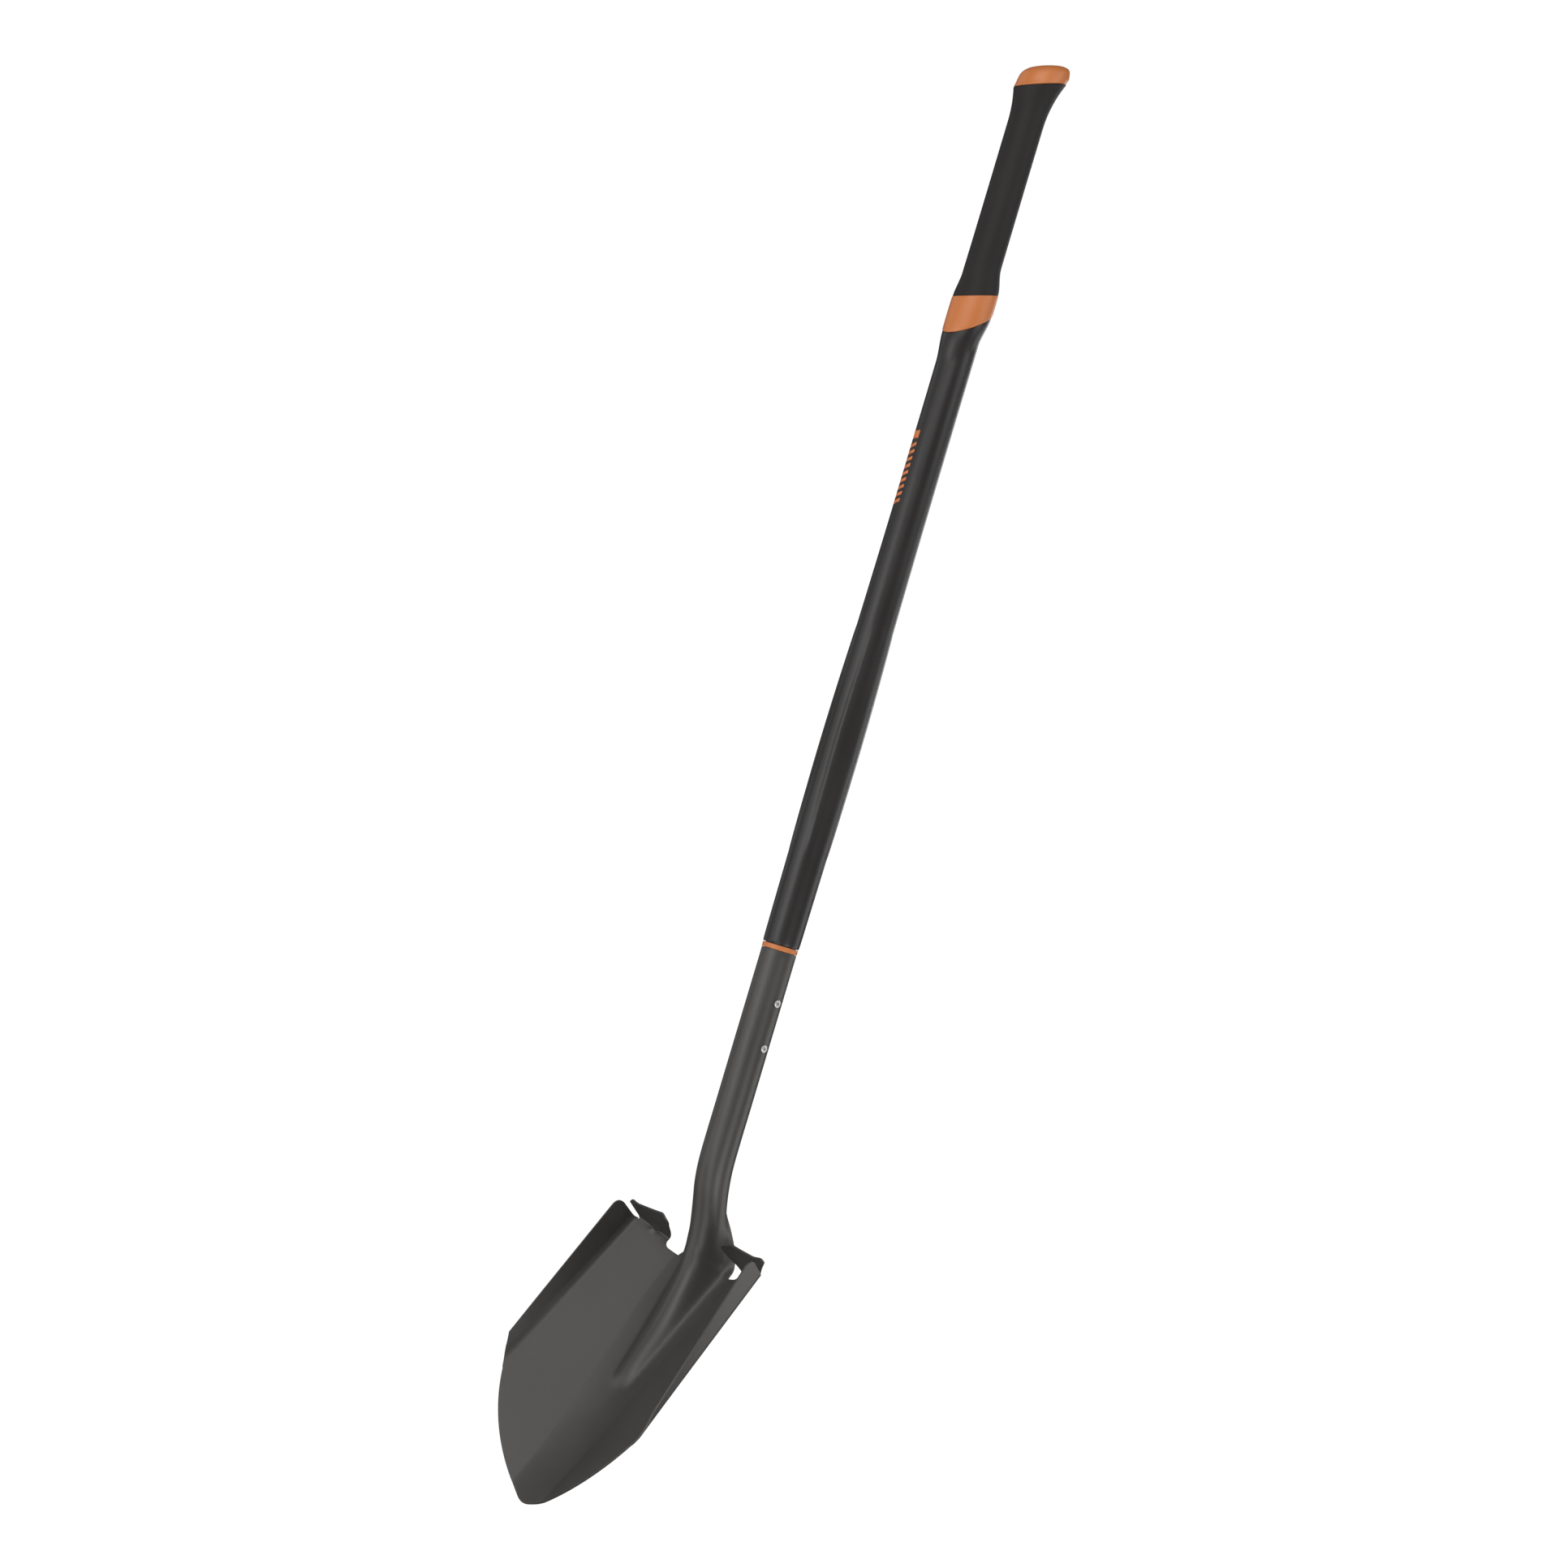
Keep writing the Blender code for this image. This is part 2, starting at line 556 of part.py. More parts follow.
def build_grip_sleeve(parent):
    low, high = BAND_TOP_Z, CAP_Z - GAP
    low_slope, high_slope = math.tan(BAND_TOP_TILT), math.tan(CAP_TILT)
    shares = (0.0, 0.02, 0.045, 0.07, 0.095, 0.13, 0.3, 0.5, 0.7, 0.82, 0.88, 0.92, 0.95, 0.98, 1.0)
    rings = [ring_at(low, JACKET_BORE_R, BAND_TOP_TILT)]
    for share in shares:
        tilt = math.atan(low_slope + (high_slope - low_slope) * share)
        rings.append(shaped_ring(low + (high - low) * share, tilt, grip_shape))
    rings.append(ring_at(high, JACKET_BORE_R, CAP_TILT))
    return loft("grip_sleeve", rings, "grip_black", parent, closed=True)


def build_pommel_cap(parent):
    joint = CAP_SECTIONS[0][1] * MM
    rings = [ring_at(SPIGOT_LOW, SPIGOT_R - 0.8 * MM), ring_at(SPIGOT_LOW + 1.5 * MM, SPIGOT_R),
             ring_at(joint, SPIGOT_R, CAP_TILT)]
    for y, z, half, depth in CAP_SECTIONS:
        rings.append(ring_at(z * MM, half * MM, CAP_TILT, y * MM, depth * MM))
    return loft("pommel_cap", rings, "orange", parent)


# ---------------------------------------------------------------- rivets

def turned_along_x(name, profile, side, z, material, parent, closed, sides=20):
    """Turn a profile of (x, radius) points about the X direction through the socket's axis."""
    rings = []
    for x, radius in profile:
        ring = []
        for k in range(sides):
            turn = side * 2.0 * math.pi * k / sides
            ring.append(Vector((side * x, radius * math.cos(turn), z + radius * math.sin(turn))))
        rings.append(ring)
    return loft(name, rings, material, parent, closed=closed)


def build_rivet(name, side, z, parent):
    seat = SOCKET_R + 0.5 * GAP
    top = seat + RIVET_HEAD_HIGH
    bulb = CORE_BORE_R - GAP
    end = bulb - RIVET_BULB_LONG
    body = [(end, RIVET_BORE_R), (end, RIVET_BULB_R * 0.8), (end + 0.8 * MM, RIVET_BULB_R),
            (bulb - 0.9 * MM, RIVET_BULB_R), (bulb, RIVET_SHANK_R), (seat, RIVET_SHANK_R),
            (seat, RIVET_HEAD_R * 0.97), (seat + 0.35 * MM, RIVET_HEAD_R),
            (top - 0.45 * MM, RIVET_HEAD_R * 0.78), (top, RIVET_HEAD_R * 0.45),
            (top - 0.25 * MM, RIVET_BORE_R)]
    return turned_along_x(name, body, side, z, "rivet_grey", parent, closed=True)


def build_mandrel(name, side, z, parent):
    top = SOCKET_R + RIVET_HEAD_HIGH - 0.9 * MM
    end = CORE_BORE_R - GAP - RIVET_BULB_LONG - GAP
    stem = [(end - 2.0 * MM, STEM_HEAD_R * 0.55), (end - 1.4 * MM, STEM_HEAD_R * 0.95),
            (end - 0.4 * MM, STEM_HEAD_R), (end, STEM_R), (top, STEM_R)]
    return turned_along_x(name, stem, side, z, "stem_grey", parent, closed=False)


def build_rivet_cutter(z, parent):
    reach = 40.0 * MM
    profile = [(-reach, RIVET_HOLE_R), (reach, RIVET_HOLE_R)]
    cutter = turned_along_x("rivet_hole", profile, 1, z, "stem_grey", parent, closed=False, sides=16)
    cutter.hide_render = True
    cutter.display_type = "WIRE"
    return cutter


def main():
    clear_scene()
    shovel = bpy.data.objects.new("shovel", None)
    shovel.location = (RING_X, RING_Y, RING_Z)
    bpy.context.scene.collection.objects.link(shovel)
    blade = build_blade(shovel)
    core = build_core_tube(shovel)
    sleeve = build_shaft_sleeve(shovel)
    build_socket_ring(shovel)
    build_hand_stop_band(shovel)
    build_grip_sleeve(shovel)
    build_pommel_cap(shovel)
    for level, z in RIVET_Z.items():
        cutter = build_rivet_cutter(z, shovel)
        for drilled in (blade, core, sleeve):
            cut(drilled, cutter)
        for side, hand in ((1, "right"), (-1, "left")):
            build_rivet("rivet_%s_%s" % (level, hand), side, z, shovel)
            build_mandrel("mandrel_%s_%s" % (level, hand), side, z, shovel)
    bpy.context.view_layer.update()


main()
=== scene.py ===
"""Long-handled round-point shovel: fine pieces, finishes, studio and camera around the frame.

Sizes are in millimetres from the collar ring under the shaft, as in the part itself: +Z is up the
shaft, the hollow side of the blade faces -Y and +X is its right side.
"""
import math

import bpy
import numpy as np
from mathutils import Matrix, Vector


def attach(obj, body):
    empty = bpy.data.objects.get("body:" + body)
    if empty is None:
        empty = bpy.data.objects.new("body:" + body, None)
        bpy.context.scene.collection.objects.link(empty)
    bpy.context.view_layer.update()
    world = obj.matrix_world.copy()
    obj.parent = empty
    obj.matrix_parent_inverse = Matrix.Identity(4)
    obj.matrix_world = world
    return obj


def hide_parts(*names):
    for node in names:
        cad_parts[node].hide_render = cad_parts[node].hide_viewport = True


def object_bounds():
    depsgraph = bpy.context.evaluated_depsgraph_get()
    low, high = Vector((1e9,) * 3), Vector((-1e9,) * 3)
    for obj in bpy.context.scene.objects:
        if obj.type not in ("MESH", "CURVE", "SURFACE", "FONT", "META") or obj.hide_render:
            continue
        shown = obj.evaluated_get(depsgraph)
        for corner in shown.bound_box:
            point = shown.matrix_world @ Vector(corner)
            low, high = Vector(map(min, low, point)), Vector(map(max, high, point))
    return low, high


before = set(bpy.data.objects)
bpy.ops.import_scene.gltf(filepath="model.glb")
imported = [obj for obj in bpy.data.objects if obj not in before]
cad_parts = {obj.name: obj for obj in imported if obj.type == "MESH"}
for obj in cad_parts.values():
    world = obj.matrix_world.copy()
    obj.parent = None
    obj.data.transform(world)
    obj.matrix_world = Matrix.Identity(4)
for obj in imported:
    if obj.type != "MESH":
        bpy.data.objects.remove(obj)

cad_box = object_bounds()

MM = 0.001
RING = Vector((0.0, 0.0, -760.0))       # the collar ring in the row's frame

# ---- blade
SHEET = 1.8
LIFT = math.radians(34.7)
BLADE_AT = Vector((0.0, 6.4, -298.5))
BLADE_LONG = 285.6
FOLD_HALF, FOLD_FLARE = 89.9, 0.0459
FACET_SLOPE = 0.5486
CREASE_HALF = [(0.0, 38.0), (60.0, 38.0), (105.0, 34.0), (160.0, 30.0), (220.0, 25.5),
               (286.0, 23.0)]
CREASE_SLOPE = 0.43     # slope just inside a crease; the facets outside have FACET_SLOPE
MIDDLE_RISE = 9.3       # the middle's height over the line where the facets would meet
TIP_LIFT, TIP_LIFT_START = 5.8, 175.0
POINT_RADIUS, POINT_CENTRE_X, POINT_CENTRE_S, POINT_NOSE = 178.5, -67.0, 121.5, 18.0
WALL_HIGH_TOP, WALL_TAPER = 30.0, 0.105
WALL_OUT_TOP, WALL_OUT_GROW = 2.8, 0.018
WALL_CORNER, WALL_START = 10.0, 2.6
WALL_END_BEND, WALL_END_EDGE = 182.0, 170.0     # the wall's lower end, at the bend and edge
BOTTOM_GUESS = 188.0    # first guess for the outline's lower end
FOLD_BEND = 5.0
EDGE_ROUND = 0.45
TREAD_IN, TREAD_OUT = 52.0, 85.5
TREAD_EDGE_IN, TREAD_EDGE_OUT = 38.0, 96.0
TREAD_EDGE = [(38.0, 15.2), (44.0, 13.4), (52.0, 12.4), (62.0, 12.8), (75.0, 14.0), (86.0, 15.2),
              (96.0, 16.6)]
TREAD_LEAN, TREAD_INNER_DROP, TREAD_OUTER_LIFT = 0.20, 6.6, 2.6
TREAD_INNER_RUN, TREAD_OUTER_START, TREAD_OUTER_RUN, TREAD_OUTER_HIGH = 15.0, 80.0, 15.0, 14.0
TREAD_MARK = 0.9        # share of the press mark's depth that shows on the tread
TREAD_BEND = 2.6
TREAD_CORNER_IN, TREAD_CORNER_OUT = 6.0, 7.5
GUSSET_X, GUSSET_HALF, GUSSET_REACH, GUSSET_DEEP = 66.5, 5.0, 9.5, 2.4
GUSSET_FROM, GUSSET_TO = 40.0, 90.0     # the press mark is only worked out between these
NOTCH_LOW, NOTCH_WIDE = 9.0, 6.0
FROG_CREST = [(9.0, 1.5), (21.0, -7.1), (32.0, -12.6), (45.0, -17.6), (60.0, -22.8), (80.0, -28.2),
              (105.0, -32.4), (125.0, -35.8), (141.0, -39.8), (154.0, -43.6)]
FROG_HALF = [(9.0, 22.5), (50.0, 19.5), (90.0, 16.0), (116.0, 13.5), (137.0, 12.0), (154.0, 11.5)]
FROG_POWER, FROG_FILLET, FROG_FADE = 2.3, 0.32, 17.0
FROG_END = 154.0
STRAP_PLACES = [0.0, 3.5, 7.0, 10.5, 13.5, 16.0, 18.5, 21.5, 25.5, 30.0, 35.0]
STRAP = [
    (-17.3, -5.4, 0.0, 17.3, 17.3, 0.3, 34.6, 180.0),
    (-17.3, -52.0, 0.0, 17.3, 17.3, 0.3, 34.6, 180.0),
    (-17.3, -102.0, 0.0, 17.3, 17.3, 0.3, 34.6, 180.0),
    (-17.3, -160.0, 0.0, 17.3, 17.3, 0.3, 34.6, 180.0),
    (-17.3, -205.0, 0.0, 17.3, 17.3, 0.3, 34.6, 180.0),
    (-16.5, -224.0, 1.0, 17.3, 17.3, 0.4, 34.8, 178.0),
    (-13.6, -242.0, 4.0, 17.3, 17.4, 1.2, 35.8, 165.0),
    (-9.0, -257.5, 9.0, 17.4, 17.6, 5.5, 37.8, 130.0),
    (-4.9, -271.5, 14.0, 17.6, 18.0, 15.5, 39.4, 95.0),
    (-2.2, -284.0, 20.0, 17.8, 18.0, 25.5, 39.6, 60.0),
    (-0.6, -295.5, 27.0, 18.0, 17.0, 32.0, 37.5, 10.0),
]

# ---- shaft
GAP = 0.3
SOCKET_R = 17.3
JACKET_BORE_R, JACKET_EDGE_R = 13.3, 17.2
NECK_R, NECK_LOW = SOCKET_R - SHEET - GAP, -188.0
RING_R, RING_HIGH, RING_ROUND = 17.6, 4.8, 0.6
BAND_LOW_Z, BAND_LOW_TILT = 626.0, math.radians(41.5)
BAND_TOP_Z, BAND_TOP_TILT = 654.2, math.radians(24.0)
BAND_R, BAND_OFF, BAND_FOOT, BAND_HEAD = 21.5, 1.4, 30.0, 25.0
JACKET_UNDER_BAND, GRIP_UNDER_BAND = 0.6, 0.4      # step from the band's skin down to theirs
BAND_PROFILE = [(0.0, 0.9), (0.006, 0.45), (0.02, 0.15), (0.05, 0.0), (0.2, -0.1),
                (0.4, -0.15), (0.6, -0.15), (0.8, -0.1), (0.95, 0.0), (0.985, 0.15),
                (1.0, 0.4)]      # share of the band's height, inset from BAND_R
CAP_Z, CAP_TILT = 865.3, math.radians(26.8)
SHAFT_RADII = [(0.3, 17.7), (3.0, 18.1), (28.0, 18.4), (53.0, 18.6), (102.0, 19.0), (151.0, 19.2),
               (200.0, 19.3), (249.0, 19.0), (298.0, 18.4), (347.0, 18.0), (395.0, 17.7),
               (445.0, 17.55), (543.0, 17.5), (592.0, 17.6)]
SWELL_LOW, SWELL_TOP, SWELL_RISE, SWELL_POWER = 92.0, 318.0, 1.1, 0.6
SWELL_EDGE, SWELL_EDGE_IN, SWELL_SOFT = 34.0, 10.0, 8.0     # degrees from the front
GRIP_RADII = [(679.0, 17.6), (700.0, 17.45), (760.0, 17.35), (829.0, 17.4)]
POMMEL_FLARE_START, POMMEL_FLARE_R = 826.0, 130.0
CAP_SECTIONS = [(3.7, 865.6, 23.3, 24.8), (5.6, 869.9, 23.8, 25.0), (5.7, 875.0, 23.1, 24.4),
                (5.7, 879.3, 21.9, 23.1), (5.3, 882.0, 19.6, 20.7), (4.4, 884.3, 15.0, 16.0),
                (3.6, 885.4, 9.0, 9.8), (3.2, 885.8, 3.5, 3.8)]
SPIGOT_R, SPIGOT_LOW, SPIGOT_LEAD, SPIGOT_LEAD_HIGH = 9.2, 822.0, 0.8, 1.5
CAP_EDGE, CAP_FOOT_RINGS, CAP_RINGS = 0.4, 6, 28
CORE_BORE_R = 9.5
RIVET_Z = {"upper": -54.8, "lower": -99.8}
RIVET_LIFT, HEAD_HIGH, BULB_LONG, STEM_SUNK = 0.15, 1.5, 3.6, 0.9

DOWN = Vector((0.0, -math.sin(LIFT), -math.cos(LIFT)))
FRONT = Vector((0.0, -math.cos(LIFT), math.sin(LIFT)))


# ---------------------------------------------------------------- helpers

def smooth_step(t):
    """Ease from 0 to 1 while t goes from 0 to 1."""
    t = min(max(t, 0.0), 1.0)
    return t * t * (3.0 - 2.0 * t)


def along(points, at):
    """Value at a place on a smooth curve through (place, value) points."""
    if at <= points[0][0]:
        return points[0][1]
    if at >= points[-1][0]:
        return points[-1][1]
    i = max(k for k in range(len(points) - 1) if points[k][0] <= at)

    def slope(k):
        a, b = points[max(k - 1, 0)], points[min(k + 1, len(points) - 1)]
        return (b[1] - a[1]) / (b[0] - a[0])

    (x0, y0), (x1, y1) = points[i], points[i + 1]
    w = x1 - x0
    t = (at - x0) / w
    return ((2 * t**3 - 3 * t**2 + 1) * y0 + (t**3 - 2 * t**2 + t) * w * slope(i)
            + (3 * t**2 - 2 * t**3) * y1 + (t**3 - t**2) * w * slope(i + 1))


def add_piece(name, points, faces, material, nodes=(), sharp=32.0):
    """Mesh from points in millimetres from the collar ring. It stands for the given CAD nodes."""
    mesh = bpy.data.meshes.new(name)
    mesh.from_pydata([tuple((Vector(p) + RING) * MM) for p in points], [], faces)
    mesh.validate()
    mesh.shade_smooth()
    mesh.set_sharp_from_angle(angle=math.radians(sharp))
    mesh.materials.append(material)
    obj = bpy.data.objects.new(name, mesh)
    bpy.context.scene.collection.objects.link(obj)
    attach(obj, "root")
    if nodes:
        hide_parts(*nodes)
    return obj


def loft(rings, closed=False):
    """Points and faces of a skin over a row of equal rings, with filled ends unless closed."""
    n = len(rings[0])
    points = [p for ring in rings for p in ring]
    faces = []
    for r in range(len(rings) if closed else len(rings) - 1):
        a, b = r * n, ((r + 1) % len(rings)) * n
        for i in range(n):
            j = (i + 1) % n
            faces.append((a + i, a + j, b + j, b + i))
    if not closed:
        faces.append(tuple(reversed(range(n))))
        faces.append(tuple(range((len(rings) - 1) * n, len(rings) * n)))
    return points, faces


SIDES = 96      # points round a ring


def shaped_ring(z, tilt, shape_at):
    """Ring on a plane that rises to the back by tilt; shape_at gives its radius and middle."""
    ring = []
    for k in range(SIDES):
        turn = 2.0 * math.pi * k / SIDES
        high = z
        for _ in range(6):
            radius, middle = shape_at(high, turn)
            x, y = radius * math.sin(turn), middle - radius * math.cos(turn)
            high = z + math.tan(tilt) * y
        ring.append(Vector((x, y, high)))
    return ring


def ring_at(z, radius, tilt=0.0, middle_y=0.0, half_depth=None):
    """Round or oval ring on a plane that rises to the back by tilt."""
    depth = radius if half_depth is None else half_depth
    ring = []
    for k in range(SIDES):
        turn = 2.0 * math.pi * k / SIDES
        x, y = radius * math.sin(turn), middle_y - depth * math.cos(turn)
        ring.append(Vector((x, y, z + math.tan(tilt) * y)))
    return ring


# ---------------------------------------------------------------- finishes

def new_material(name):
    """Material, its node tree and its principled shader."""
    material = bpy.data.materials.new(name)
    material.use_nodes = True
    tree = material.node_tree
    return material, tree, tree.nodes["Principled BSDF"]


def add_node(tree, kind, **values):
    """Node with each value on the input of that name, or else on the property."""
    node = tree.nodes.new(kind)
    for key, value in values.items():
        if key in node.inputs:
            node.inputs[key].default_value = value
        else:
            setattr(node, key.lower(), value)
    return node


def object_noise(tree, scale, detail, roughness):
    """Noise over the object's own coordinates."""
    coords = tree.nodes.get("coords") or tree.nodes.new("ShaderNodeTexCoord")
    coords.name = "coords"
    noise = add_node(tree, "ShaderNodeTexNoise", Scale=scale, Detail=detail, Roughness=roughness)
    tree.links.new(coords.outputs["Object"], noise.inputs["Vector"])
    return noise


def spread(tree, source, low, high, start=0.3, end=0.7):
    """The source's range from start to end, stretched to run from low to high."""
    ramp = add_node(tree, "ShaderNodeMapRange")
    ramp.inputs["From Min"].default_value = start
    ramp.inputs["From Max"].default_value = end
    ramp.inputs["To Min"].default_value = low
    ramp.inputs["To Max"].default_value = high
    tree.links.new(source, ramp.inputs["Value"])
    return ramp.outputs["Result"]


def tint(tree, factor, dark, light, target):
    """Mix of two colours, led into the target input."""
    mix = tree.nodes.new("ShaderNodeMix")
    mix.data_type = "RGBA"
    mix.inputs["A"].default_value = (*dark, 1.0)
    mix.inputs["B"].default_value = (*light, 1.0)
    tree.links.new(factor, mix.inputs["Factor"])
    tree.links.new(mix.outputs["Result"], target)


def bump(tree, shader, height, distance):
    """Bump of this distance in metres from a height."""
    node = add_node(tree, "ShaderNodeBump", Strength=1.0, Distance=distance)
    tree.links.new(height, node.inputs["Height"])
    tree.links.new(node.outputs["Normal"], shader.inputs["Normal"])


PATCH_GLOSS, GRAIN_GLOSS = 0.025, 0.02      # how far roughness strays either way


def make_surface(name, dark, light, rough, grain, grain_deep, specular, patch):
    """Slightly uneven colour and gloss in broad patches, and a fine grain that stands proud."""
    material, tree, shader = new_material(name)
    broad = object_noise(tree, patch, 4.0, 0.55)
    factor = spread(tree, broad.outputs["Fac"], 0.0, 1.0)
    tint(tree, factor, dark, light, shader.inputs["Base Color"])
    fine = object_noise(tree, grain, 2.0, 0.5)
    gloss = add_node(tree, "ShaderNodeMath", operation="ADD")
    tree.links.new(spread(tree, broad.outputs["Fac"], rough - PATCH_GLOSS, rough + PATCH_GLOSS),
                   gloss.inputs[0])
    tree.links.new(spread(tree, fine.outputs["Fac"], -GRAIN_GLOSS, GRAIN_GLOSS), gloss.inputs[1])
    tree.links.new(gloss.outputs["Value"], shader.inputs["Roughness"])
    shader.inputs["Specular IOR Level"].default_value = specular
    bump(tree, shader, fine.outputs["Fac"], grain_deep)
    return material


def make_metal(name, colour, rough, grain):
    """Metal with a fine, uneven colour and gloss."""
    material, tree, shader = new_material(name)
    fine = object_noise(tree, grain, 3.0, 0.6)
    factor = spread(tree, fine.outputs["Fac"], 0.0, 1.0)
    dark = tuple(c * 0.8 for c in colour)
    tint(tree, factor, dark, colour, shader.inputs["Base Color"])
    shader.inputs["Metallic"].default_value = 0.9
    tree.links.new(spread(tree, fine.outputs["Fac"], rough - 0.06, rough + 0.08),
                   shader.inputs["Roughness"])
    bump(tree, shader, fine.outputs["Fac"], 0.00004)
    return material


# name, darker and lighter colour, roughness, grain scale, grain depth (m), specular, patch scale
POWDER = make_surface("powder_coat_black", (0.041, 0.038, 0.0355), (0.052, 0.0485, 0.0455),
                      0.40, 1500.0, 0.00002, 0.5, 11.0)
JACKET = make_surface("jacket_satin_black", (0.021, 0.0193, 0.0188), (0.026, 0.0240, 0.0234),
                      0.34, 2600.0, 0.00003, 0.36, 9.0)
GRIP = make_surface("grip_matt_black", (0.0150, 0.0134, 0.0129), (0.0188, 0.0168, 0.0162),
                    0.62, 1900.0, 0.00010, 0.26, 18.0)
ORANGE = make_surface("moulded_orange", (0.53, 0.165, 0.043), (0.56, 0.18, 0.051),
                      0.44, 2400.0, 0.00003, 0.5, 26.0)
PRINT = make_surface("printed_orange", (0.60, 0.16, 0.045), (0.66, 0.20, 0.06),
                     0.5, 2600.0, 0.00002, 0.4, 60.0)
RIVET = make_metal("rivet_aluminium", (0.62, 0.60, 0.575), 0.42, 900.0)
STEM = make_metal("stem_steel", (0.30, 0.295, 0.29), 0.38, 900.0)


def make_fibreglass():
    """Pale glass fibre with strands along the tube."""
    material, tree, shader = new_material("fibreglass")
    coords = tree.nodes.new("ShaderNodeTexCoord")
    mapping = tree.nodes.new("ShaderNodeMapping")
    mapping.inputs["Scale"].default_value = (1400.0, 1400.0, 22.0)
    strands = add_node(tree, "ShaderNodeTexNoise", Scale=1.0, Detail=3.0)
    tree.links.new(coords.outputs["Object"], mapping.inputs["Vector"])
    tree.links.new(mapping.outputs["Vector"], strands.inputs["Vector"])
    factor = spread(tree, strands.outputs["Fac"], 0.0, 1.0)
    tint(tree, factor, (0.42, 0.37, 0.23), (0.60, 0.55, 0.38), shader.inputs["Base Color"])
    shader.inputs["Roughness"].default_value = 0.45
    bump(tree, shader, strands.outputs["Fac"], 0.00005)
    return material


FIBREGLASS = make_fibreglass()


# ---------------------------------------------------------------- blade

def blade_point(x, s, h):
    """Point x across, s down the blade and h out of its hollow side."""
    return BLADE_AT + Vector((x, 0.0, 0.0)) + DOWN * s + FRONT * h


def half_width(s):
    """Distance across from the middle to the fold."""
    return FOLD_HALF + FOLD_FLARE * s


def outline_end(x):
    """How far down the outline reaches at x: two arcs and a rounded point."""
    side = POINT_RADIUS - POINT_NOSE
    if abs(x) < -POINT_CENTRE_X * POINT_NOSE / side:
        middle = POINT_CENTRE_S + math.sqrt(side**2 - POINT_CENTRE_X**2)
        return middle + math.sqrt(POINT_NOSE**2 - x * x)
    return POINT_CENTRE_S + math.sqrt(POINT_RADIUS**2 - (abs(x) - POINT_CENTRE_X)**2)


def crease(s):
    """Half width of the rounded middle, between the creases that end the two flat facets."""
    return along(CREASE_HALF, s)


def dish(x, s):
    """Height of the dished sheet over its folds: two flat facets and a rounded middle."""
    x, edge = abs(x), crease(s)
    if x < edge:
        power = CREASE_SLOPE * edge / (FACET_SLOPE * edge - MIDDLE_RISE) - 1.0
        drop = CREASE_SLOPE * edge / (power + 1.0) * (1.0 - (x / edge)**(power + 1.0))
        x = edge - drop / FACET_SLOPE
    lift = TIP_LIFT * (max(s - TIP_LIFT_START, 0.0) / (BLADE_LONG - TIP_LIFT_START))**2
    return lift - FACET_SLOPE * (half_width(s) - x)


def frog(x, s):
    """Height of the pressed ridge over the dish, with a wide fillet along its foot."""
    rise = along(FROG_CREST, s) - dish(0.0, s)
    if rise <= 0.0 or s >= FROG_END:
        return 0.0
    rise *= smooth_step((FROG_END - s) / FROG_FADE)
    over = 1.0 - (abs(x) / along(FROG_HALF, s))**FROG_POWER
    whole = 1.0 + math.sqrt(1.0 + 4.0 * FROG_FILLET**2)
    return rise * (over + math.sqrt(over**2 + 4.0 * FROG_FILLET**2)) / whole


def gusset(x, reach):
    """Depth of the small press mark across a tread's fold, reach being the way from the fold."""
    return GUSSET_DEEP * math.exp(-((abs(x) - GUSSET_X) / GUSSET_HALF)**2) * smooth_step(
        1.0 - reach / GUSSET_REACH)


def plate(x, s):
    """Height of the plate over its folds: dish, ridge and press marks."""
    high = dish(x, s) + frog(x, s)
    if GUSSET_FROM < abs(x) < GUSSET_TO and s < GUSSET_REACH:
        high += gusset(x, s)
    return high


def wall_high(s):
    """Height of the side wall."""
    return WALL_HIGH_TOP - WALL_TAPER * s


def wall_point(high, s):
    """Place across and height of a point on the side wall."""
    return half_width(s) + high / wall_high(s) * (WALL_OUT_TOP + WALL_OUT_GROW * s), high


def bend(s, share):
    """Place across and height in the rounded fold, share being the way through."""
    x0 = half_width(s) - FOLD_BEND
    h0 = plate(x0, s)
    x1, h1 = half_width(s), 0.0
    x2, h2 = wall_point(FOLD_BEND, s)
    a, b, c = (1 - share)**2, 2 * share * (1 - share), share**2
    return a * x0 + b * x1 + c * x2, a * h0 + b * h1 + c * h2


def plate_bottom(place):
    """How far down a plate column reaches before it meets the outline."""
    s = BOTTOM_GUESS
    for _ in range(30):
        s = outline_end(place / FOLD_HALF * half_width(s))
    return min(s, BLADE_LONG) if place < 0.9 * FOLD_HALF else s


